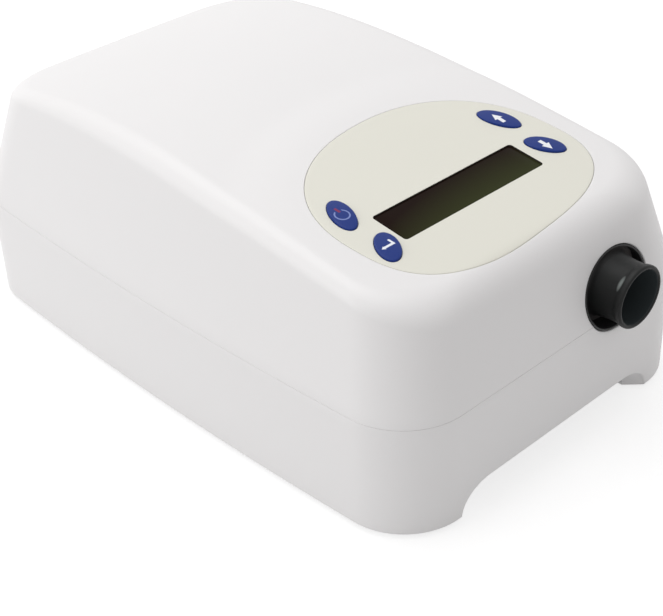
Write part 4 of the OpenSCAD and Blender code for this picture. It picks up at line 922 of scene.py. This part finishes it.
# %% Finishes
# Name, screen colour, roughness, its drift, the shade's drift, grain scale, grain height in metres
FINISHES = {
    "casing_plastic": finish("satin_white_casing", (234, 233, 233), 0.42, 0.08, 0.015),
    "overlay_film": finish("cream_face_film", (225, 224, 213), 0.5, 0.05, 0.02, 4000.0, 0.00001),
    "window_plastic": finish("tinted_window", (30, 28, 22), 0.12, 0.03, 0.1, 900.0, 0.0,
                             Specular_IOR_Level=0.1),
    "display_glass": finish("display_glass", (70, 74, 56), 0.25, 0.05, 0.05),
    "circuit_board": finish("green_board", (26, 92, 58), 0.4, 0.1, 0.15, 1500.0),
    "electronic_parts": finish("black_parts", (34, 34, 36), 0.5, 0.1, 0.1),
    "key_rubber": finish("blue_key", (30, 52, 140), 0.35, 0.08, 0.08, 3000.0),
    "outlet_plastic": finish("charcoal_outlet", (33, 34, 34), 0.42, 0.1, 0.1, 2200.0,
                             Specular_IOR_Level=0.15),
    "soft_rubber": finish("black_rubber", (16, 15, 16), 0.55, 0.1, 0.15, 1800.0, 0.00004),
    "duct_silicone": finish("grey_silicone", (196, 199, 202), 0.4, 0.08, 0.05),
    "blower_plastic": finish("grey_blower", (190, 192, 196), 0.45, 0.08, 0.04),
    "impeller_plastic": finish("pale_impeller", (222, 223, 222), 0.4, 0.06, 0.03),
    "steel": finish("bright_steel", (196, 197, 199), 0.25, 0.1, 0.05, 1200.0, Metallic=1.0),
    "magnet": finish("ground_magnet", (92, 92, 96), 0.45, 0.1, 0.1, Metallic=1.0),
    "lamination": finish("sheet_stack", (128, 130, 134), 0.5, 0.1, 0.1, 800.0, Metallic=1.0),
    "copper": finish("enamelled_wire", (190, 110, 62), 0.3, 0.1, 0.1, 700.0, 0.0001, Metallic=1.0),
    "foam": finish("open_foam", (78, 78, 82), 0.9, 0.05, 0.25, 900.0, 0.0006),
    "filter_fabric": finish("filter_fibre", (240, 240, 236), 0.9, 0.05, 0.05, 1400.0, 0.0003),
    "aluminium_fins": finish("plain_aluminium", (205, 207, 210), 0.35, 0.1, 0.05, Metallic=1.0),
    "sensor_plastic": finish("pale_sensor", (228, 228, 222), 0.45),
    "clear_silicone": finish("clear_tube", (205, 216, 220), 0.3),
    "contact_brass": finish("plated_contact", (214, 190, 130), 0.25, 0.1, 0.05, 1500.0, Metallic=1.0),
    "lead_insulation": finish("red_insulation", (178, 52, 44), 0.45),
    "black_insulation": finish("black_insulation", (36, 36, 38), 0.5),
    "ribbon_film": finish("pale_ribbon", (206, 202, 192), 0.4),
}
slots = {s["node"]: s["material_slot"] for s in frame["record"]["subparts"]}
for node, obj in frame["nodes"].items():
    wear(obj, FINISHES[slots[node]])
wear(upper, FINISHES["casing_plastic"])
wear(lower, FINISHES["casing_plastic"])
wear(plate, FINISHES["overlay_film"].copy())
wear(outlet, FINISHES["outlet_plastic"].copy())
wear(lining, FINISHES["soft_rubber"])
print(len(FINISHES), "finishes on", len(frame["nodes"]), "CAD nodes")

# %% [markdown]
# ## The keys' symbols
# Symbols are printed on the blue caps, mostly in white. They could be separate meshes, but
# a mask worked out from the surface's own coordinates stays sharp at any distance. Two dot
# products give the place on the panel, and simple distance sums give each stroke.

# %% Symbol helpers
def panel_uv(tree, x, y):
    """Right and up on the panel from its point (x, y), in millimetres, from Object coordinates."""
    centre = row(on_panel(np.array([[x, y]]), 0.0))[0]
    coords = tree.nodes.new("ShaderNodeTexCoord")
    away = tree.nodes.new("ShaderNodeVectorMath")
    away.operation = "SUBTRACT"
    away.inputs[1].default_value = tuple(centre)
    tree.links.new(coords.outputs["Object"], away.inputs[0])
    out = []
    for axis in ((1000.0, 0.0, 0.0), (0.0, 1000.0 * math.cos(TILT), 1000.0 * math.sin(TILT))):
        dot = tree.nodes.new("ShaderNodeVectorMath")
        dot.operation = "DOT_PRODUCT"
        dot.inputs[1].default_value = axis
        tree.links.new(away.outputs[0], dot.inputs[0])
        out.append(dot.outputs["Value"])
    return out


def ink(tree, distance, soft=0.08):
    """1 where a distance is below zero, 0 outside, with a narrow soft edge."""
    share = calc(tree, "MINIMUM", calc(tree, "MULTIPLY_ADD", distance, 1 / soft, 0.5), 1.0)
    return calc(tree, "SUBTRACT", 1.0, calc(tree, "SMOOTH_MAX", share, 0.0, 0.0))


def beyond(tree, u, middle, half):
    """How far u is outside a band: |u - middle| - half."""
    return calc(tree, "SUBTRACT", calc(tree, "ABSOLUTE", calc(tree, "SUBTRACT", u, middle)), half)


def squares(tree, u, v):
    """u squared plus v squared."""
    return calc(tree, "ADD", calc(tree, "MULTIPLY", u, u), calc(tree, "MULTIPLY", v, v))


def bar(tree, u, v, cx, cy, hx, hy):
    """Distance to an upright bar: max(|u - cx| - hx, |v - cy| - hy)."""
    return calc(tree, "MAXIMUM", beyond(tree, u, cx, hx), beyond(tree, v, cy, hy))


def rounded_bar(tree, u, v, cx, cy, hx, hy, r):
    """Distance to an upright bar with round corners: the length of (|u - cx| - hx + r,
    |v - cy| - hy + r), each no less than zero, less r."""
    du = calc(tree, "MAXIMUM", bar(tree, u, v, cx, cy, hx - r, 1e6), 0.0)
    dv = calc(tree, "MAXIMUM", bar(tree, u, v, cx, cy, 1e6, hy - r), 0.0)
    return calc(tree, "SUBTRACT", calc(tree, "SQRT", squares(tree, du, dv)), r)


def arrow(tree, u, v, tip, base, half, stem, tail):
    """Distance to an arrow along +v: a head of the given half-width from base to tip, and a stem
    back to tail. The head's sides close in as half * (tip - v) / (tip - base)."""
    side = calc(tree, "MULTIPLY_ADD", v, half / (tip - base), -half * tip / (tip - base))
    slope = calc(tree, "MULTIPLY", calc(tree, "ADD", calc(tree, "ABSOLUTE", u), side), 0.75)
    head = calc(tree, "MAXIMUM", slope, calc(tree, "SUBTRACT", base, v))
    shaft = bar(tree, u, v, 0.0, (base + tail) / 2, stem, (base - tail) / 2 + 0.05)
    return calc(tree, "MINIMUM", head, shaft)


def hoop(tree, u, v, r, half):
    """Distance to a ring: | sqrt(u^2 + v^2) - r | - half its width."""
    return beyond(tree, calc(tree, "SQRT", squares(tree, u, v)), r, half)


def paint(mat, mask, colour):
    """Mixes a colour over the material's base colour where the mask is 1."""
    tree = mat.node_tree
    shader = tree.nodes["Principled BSDF"]
    under = shader.inputs["Base Color"].links[0].from_socket
    mix = tree.nodes.new("ShaderNodeMix")
    mix.data_type = "RGBA"
    tree.links.new(mask, mix.inputs["Factor"])
    tree.links.new(under, mix.inputs["A"])
    mix.inputs["B"].default_value = linear(*colour)
    tree.links.new(mix.outputs["Result"], shader.inputs["Base Color"])


# %% [markdown]
# ## The keys' finishes
# All four caps are the same deep blue. One has a switch ring in pale blue with a dull red
# stroke, one a return arrow, and two have plain arrows, up and down. Each symbol is put
# together from bars, rings and arrowheads, whose places and sizes are in millimetres from the
# key's middle.

# %% Key materials
KEY_BLUE = (18, 48, 124)
RING_INK, STROKE_INK = (124, 140, 196), (128, 40, 84)
RETURN_INK, ARROW_INK = (236, 240, 247), (240, 242, 246)


def key_finish(key):
    """The blue cap with its own symbol: a switch ring, a return arrow, or an arrow up or down."""
    mat = finish("blue_key_" + key, KEY_BLUE, 0.35, 0.08, 0.08, 3000.0, Specular_IOR_Level=0.2)
    tree = mat.node_tree
    u, v = panel_uv(tree, *KEYS[key][:2])
    if key == "power":
        # A ring that is open at its back, and a stroke in the opening
        u_mid = calc(tree, "ADD", u, 0.5)
        v_low = calc(tree, "ADD", v, 0.5)
        ring = hoop(tree, u_mid, v_low, 2.4, 0.25)
        gap = calc(tree, "MULTIPLY", bar(tree, u_mid, v_low, 0.3, 2.4, 1.2, 1.0), -1.0)
        paint(mat, ink(tree, calc(tree, "MAXIMUM", ring, gap)), RING_INK)
        paint(mat, ink(tree, bar(tree, u_mid, v_low, 0.35, 2.6, 0.45, 1.25)), STROKE_INK)
    elif key == "enter":
        # A short rise at the right, and from its foot an arrow to the left
        rise = bar(tree, u, v, 1.95, 0.75, 0.42, 1.2)
        left = calc(tree, "MULTIPLY", u, -1.0)
        up = calc(tree, "ADD", v, 0.35)
        flat = arrow(tree, up, left, 3.0, 1.8, 0.8, 0.45, -2.37)
        paint(mat, ink(tree, calc(tree, "MINIMUM", rise, flat)), RETURN_INK)
    else:
        # One arrow, turned over for the down key
        along = v if key == "up" else calc(tree, "MULTIPLY_ADD", v, -1.0, -0.7)
        mark = arrow(tree, calc(tree, "ADD", u, 0.6), along, 2.9, -0.3, 1.75, 0.75, -2.9)
        paint(mat, ink(tree, mark), ARROW_INK)
    return mat


for key in KEYS:
    wear(bpy.data.objects[key + "_key"], key_finish(key))
print("symbols on", len(KEYS), "keys")

# %% [markdown]
# ## Painted light on the outlet
# The bore is painted a little paler than the outlet's outside, standing in for light that
# reaches into it, and the floor of the cup round it is painted paler as well, as painted light
# in its shade. A painted highlight behind the lip, at the upper left, stands in for a glint. Its
# strength falls off as 1 - (along / length)^2 - (across / width)^2.

# %% Outlet's painted light
# Painted light: a paler bore, a paler floor in the cup's shade, and a painted highlight behind the lip
BORE_PAINTED_LIGHT, CUP_PAINTED_LIGHT, PAINTED_GLINT_TONE = (56, 62, 64), (80, 77, 77), (122, 128, 126)
# The cup's floor as a hoop: its radius and half width
CUP_R, CUP_HALF = 16.0, 4.3
# The painted highlight behind the lip: its direction from the axis, half length, half width and depth
# behind the tip
GLINT_ANGLE, GLINT_LONG, GLINT_WIDE, GLINT_DEPTH = math.radians(134), 3.0, 0.9, 3.1


def paint_outlet_light(mat):
    """Paints light on the outlet, in millimetres about the axis: a paler bore, a paler cup floor and a
    highlight behind the lip.
    """
    tree = mat.node_tree
    coords = tree.nodes.new("ShaderNodeTexCoord")
    apart = tree.nodes.new("ShaderNodeSeparateXYZ")
    tree.links.new(coords.outputs["Object"], apart.inputs[0])
    middle = row(np.array([[OUTLET_X, TIP_Y, OUTLET_Z]]))[0] * -1000.0
    side, depth, rise = [calc(tree, "MULTIPLY_ADD", apart.outputs[a], 1000.0, float(m))
                         for a, m in zip("XYZ", middle)]
    # Painted light: the bore and the cup's floor are painted paler than the outside
    paint(mat, ink(tree, hoop(tree, side, rise, 0.0, MOUTH_R + 0.1)), BORE_PAINTED_LIGHT)
    paint(mat, ink(tree, hoop(tree, side, rise, CUP_R, CUP_HALF), soft=1.5), CUP_PAINTED_LIGHT)
    # Painted highlight: a bright spot behind the lip at the upper left, where a glint would be
    sine, cosine = math.sin(GLINT_ANGLE), math.cos(GLINT_ANGLE)
    along = calc(tree, "ADD", calc(tree, "MULTIPLY", side, -sine / GLINT_LONG),
                 calc(tree, "MULTIPLY", rise, cosine / GLINT_LONG))
    out = calc(tree, "ADD", calc(tree, "MULTIPLY", side, cosine), calc(tree, "MULTIPLY", rise, sine))
    across = calc(tree, "MULTIPLY_ADD", depth, 1 / GLINT_WIDE, -GLINT_DEPTH / GLINT_WIDE)
    glint = calc(tree, "MAXIMUM", calc(tree, "SUBTRACT", 1.0, squares(tree, along, across)), 0.0)
    outside = calc(tree, "GREATER_THAN", out, MOUTH_R + 0.3)
    paint(mat, calc(tree, "MULTIPLY", glint, outside), PAINTED_GLINT_TONE)


# The outlet's own material copy carries the painted light
outlet.data.materials[0].name = "charcoal_outlet_with_painted_light"
paint_outlet_light(outlet.data.materials[0])

# %% [markdown]
# ## The display's tint
# An idle character display looks almost black where it mirrors a dark room and olive where
# light falls on it from the front. A slow ramp over the window, from its back edge to its
# front edge, gives that, and it is strongest a little to the right of the middle.

# %% Display finish
DARK_BROWN, OLIVE = (30, 18, 13), (52, 56, 30)
# The ramp's share at the window's middle, where it is strongest and how fast it falls off aside
RAMP_MID, RAMP_ASIDE, RAMP_FALL = 0.55, 0.2, 0.9


def display_finish():
    """Dark brown to olive by mid - v / height - fall * (u / width - aside)^2, kept in 0 to 1."""
    mat = finish("tinted_window_face", DARK_BROWN, 0.14, 0.02, 0.05, 900.0, 0.0, Specular_IOR_Level=0.03)
    tree = mat.node_tree
    u, v = panel_uv(tree, 0.0, 0.0)
    ramp = calc(tree, "MULTIPLY_ADD", v, -1 / WINDOW_H, RAMP_MID)
    aside = calc(tree, "MULTIPLY_ADD", u, 1 / WINDOW_W, -RAMP_ASIDE)
    fall = calc(tree, "MULTIPLY", calc(tree, "MULTIPLY", aside, aside), RAMP_FALL)
    hump = calc(tree, "SUBTRACT", ramp, fall)
    paint(mat, calc(tree, "MINIMUM", calc(tree, "MAXIMUM", hump, 0.0), 1.0), OLIVE)
    return mat


wear(window, display_finish())

# %% [markdown]
# ## The window's border
# A thin dark line is printed on the face plate round the opening. It is painted where the
# distance to the opening's own outline, grown by the line's width, is below zero.

# %% Window border
BORDER, BORDER_TONE = 0.08, (34, 26, 22)
border = plate.data.materials[0]
border.name = "cream_face_film_with_border"
right_of, up_from = panel_uv(border.node_tree, 0.0, 0.0)
reach = rounded_bar(border.node_tree, right_of, up_from, *WINDOW_AT, WINDOW_W / 2 + BORDER,
                    WINDOW_H / 2 + BORDER, WINDOW_R + BORDER)
paint(border, ink(border.node_tree, reach, soft=0.04), BORDER_TONE)
print("border", BORDER, "mm wide")

# %% [markdown]
# ## Camera
# The camera stands in front and to the left, a little over half a metre from the machine and
# a little over a third of a right angle up. The numbers below are its direction, its roll, its
# focal length in pixels, its distance in millimetres from a point in the middle of the casing,
# and the pixel at which that point appears.

# %% Camera
AZIMUTH, ELEVATION, ROLL = math.radians(-42.72), math.radians(33.87), math.radians(2.34)
FOCAL, DISTANCE, AIM = 1467.78, 525.56, np.array([0, 0, 50.0])
FRAME_W, FRAME_H = 663.0, 616.0
SEEN_X, SEEN_Y = 311.41, 197.6
SENSOR = 36.0


def unit(v):
    """v divided by its own length."""
    return v / np.linalg.norm(v)


back = np.array([math.sin(AZIMUTH) * math.cos(ELEVATION), -math.cos(AZIMUTH) * math.cos(ELEVATION),
                 math.sin(ELEVATION)])
right = unit(np.cross(-back, [0, 0, 1]))
down = np.cross(-back, right)
right, down = (math.cos(ROLL) * right + math.sin(ROLL) * down,
               -math.sin(ROLL) * right + math.cos(ROLL) * down)
per_px = DISTANCE / FOCAL
eye = (AIM + back * DISTANCE - right * (SEEN_X - FRAME_W / 2) * per_px
       - down * (SEEN_Y - FRAME_H / 2) * per_px)
lens = bpy.data.cameras.new("camera")
lens.sensor_width = SENSOR
lens.sensor_fit = "HORIZONTAL"
lens.lens = FOCAL / FRAME_W * SENSOR
lens.clip_start, lens.clip_end = 0.01, 20.0
camera = bpy.data.objects.new("camera", lens)
bpy.context.scene.collection.objects.link(camera)
turn = Matrix([list(right), list(-down), list(back)]).transposed().to_4x4()
camera.matrix_world = Matrix.Translation(Vector(row(eye))) @ turn
bpy.context.scene.camera = camera
print("camera at", [round(float(v), 3) for v in row(eye)], "lens", round(lens.lens, 2))

# %% [markdown]
# ## The white surroundings
# A product picture has nothing but white round the object. Light Path tells the rays that are
# seen from the rays that light the object, so the surroundings can look pure white without
# flooding the casing, which gets a dimmer, faintly warm light from them.

# %% World
WHITE = (1, 1, 1, 1)
AMBIENT, AMBIENT_LIGHT = (1.0, 0.985, 0.985, 1.0), 0.55
scene = bpy.context.scene
scene.view_settings.view_transform = "Standard"


def add_node(tree, kind, **values):
    """A new shader node of a kind, with some of its inputs set."""
    node = tree.nodes.new("ShaderNode" + kind)
    for label, value in values.items():
        node.inputs[label].default_value = value
    return node.outputs[0]


def join(tree, kind, *sockets):
    """A new shader node of a kind, with sockets linked to its inputs in turn."""
    node = tree.nodes.new("ShaderNode" + kind)
    for i, socket in enumerate(sockets):
        tree.links.new(socket, node.inputs[i])
    return node.outputs[0]


def seen_directly(tree):
    """1 for camera, glossy and transmission rays."""
    path = tree.nodes.new("ShaderNodeLightPath")
    a = calc(tree, "MAXIMUM", path.outputs["Is Camera Ray"], path.outputs["Is Glossy Ray"])
    return calc(tree, "MAXIMUM", a, path.outputs["Is Transmission Ray"])


world = bpy.data.worlds.new("white_studio")
world.use_nodes = True
scene.world = world
sky = world.node_tree
ambient = sky.nodes["Background"]
ambient.inputs["Color"].default_value = AMBIENT
ambient.inputs["Strength"].default_value = AMBIENT_LIGHT
plain = add_node(sky, "Background", Color=WHITE, Strength=1.0)
pick = join(sky, "MixShader", seen_directly(sky), ambient.outputs[0], plain)
sky.links.new(pick, sky.nodes["World Output"].inputs["Surface"])
print("world", world.name)

# %% [markdown]
# ## The floor
# The floor has to vanish into the white and still take a soft shadow. To the seen rays it is a
# dim surface with a steady glow added, so its lit parts come out white, and the shadow only
# takes away the dim part. To all other rays it is a plain pale surface that throws light back
# up at the casing.

# %% Floor
# Half the floor's side in metres, the two grey shares and the glow's strength
FLOOR_HALF, LIT_GREY, SEEN_GREY, GLOW = 3.0, 0.8, 0.35, 0.74
grid = FLOOR_HALF * np.array([[-1, -1, 0], [1, -1, 0], [1, 1, 0], [-1, 1, 0]])
floor_mesh = bpy.data.meshes.new("floor")
floor_mesh.from_pydata(grid, [], [(0, 1, 2, 3)])
floor = bpy.data.objects.new("floor", floor_mesh)
scene.collection.objects.link(floor)
floor_mat = bpy.data.materials.new("white_floor")
floor_mat.use_nodes = True
tree = floor_mat.node_tree
tree.nodes.remove(tree.nodes["Principled BSDF"])
lit = add_node(tree, "BsdfDiffuse", Color=(LIT_GREY, LIT_GREY, LIT_GREY, 1))
seen = add_node(tree, "BsdfDiffuse", Color=(SEEN_GREY, SEEN_GREY, SEEN_GREY, 1))
glow = add_node(tree, "Emission", Strength=GLOW)
mixed = join(tree, "MixShader", seen_directly(tree), lit, join(tree, "AddShader", seen, glow))
tree.links.new(mixed, tree.nodes["Material Output"].inputs["Surface"])
floor_mesh.materials.append(floor_mat)

# %% [markdown]
# ## The lamps
# Two large soft lamps light the machine. The one at the upper left gives the bright shoulder
# and the quiet fall of tone on the front, and the one overhead fills the top and lays the
# shadow close round the feet.

# %% Lamps
def soft_lamp(name, place, aim, size, watts):
    """A square area lamp at a place, pointed at an aim, both in metres."""
    data = bpy.data.lights.new(name, "AREA")
    data.size = size
    data.energy = watts
    lamp = bpy.data.objects.new(name, data)
    scene.collection.objects.link(lamp)
    lamp.location = place
    lamp.rotation_euler = (Vector(aim) - Vector(place)).to_track_quat("-Z", "Y").to_euler()
    return lamp


MACHINE = (0, 0, 0.05)
soft_lamp("upper_left_lamp", (-1.2, 0.6, 0.6), MACHINE, 0.9, 4.9)
soft_lamp("overhead_lamp", (0.0, 0.45, 1.4), MACHINE, 1.2, 10.0)
print("lamps", len(bpy.data.lights))
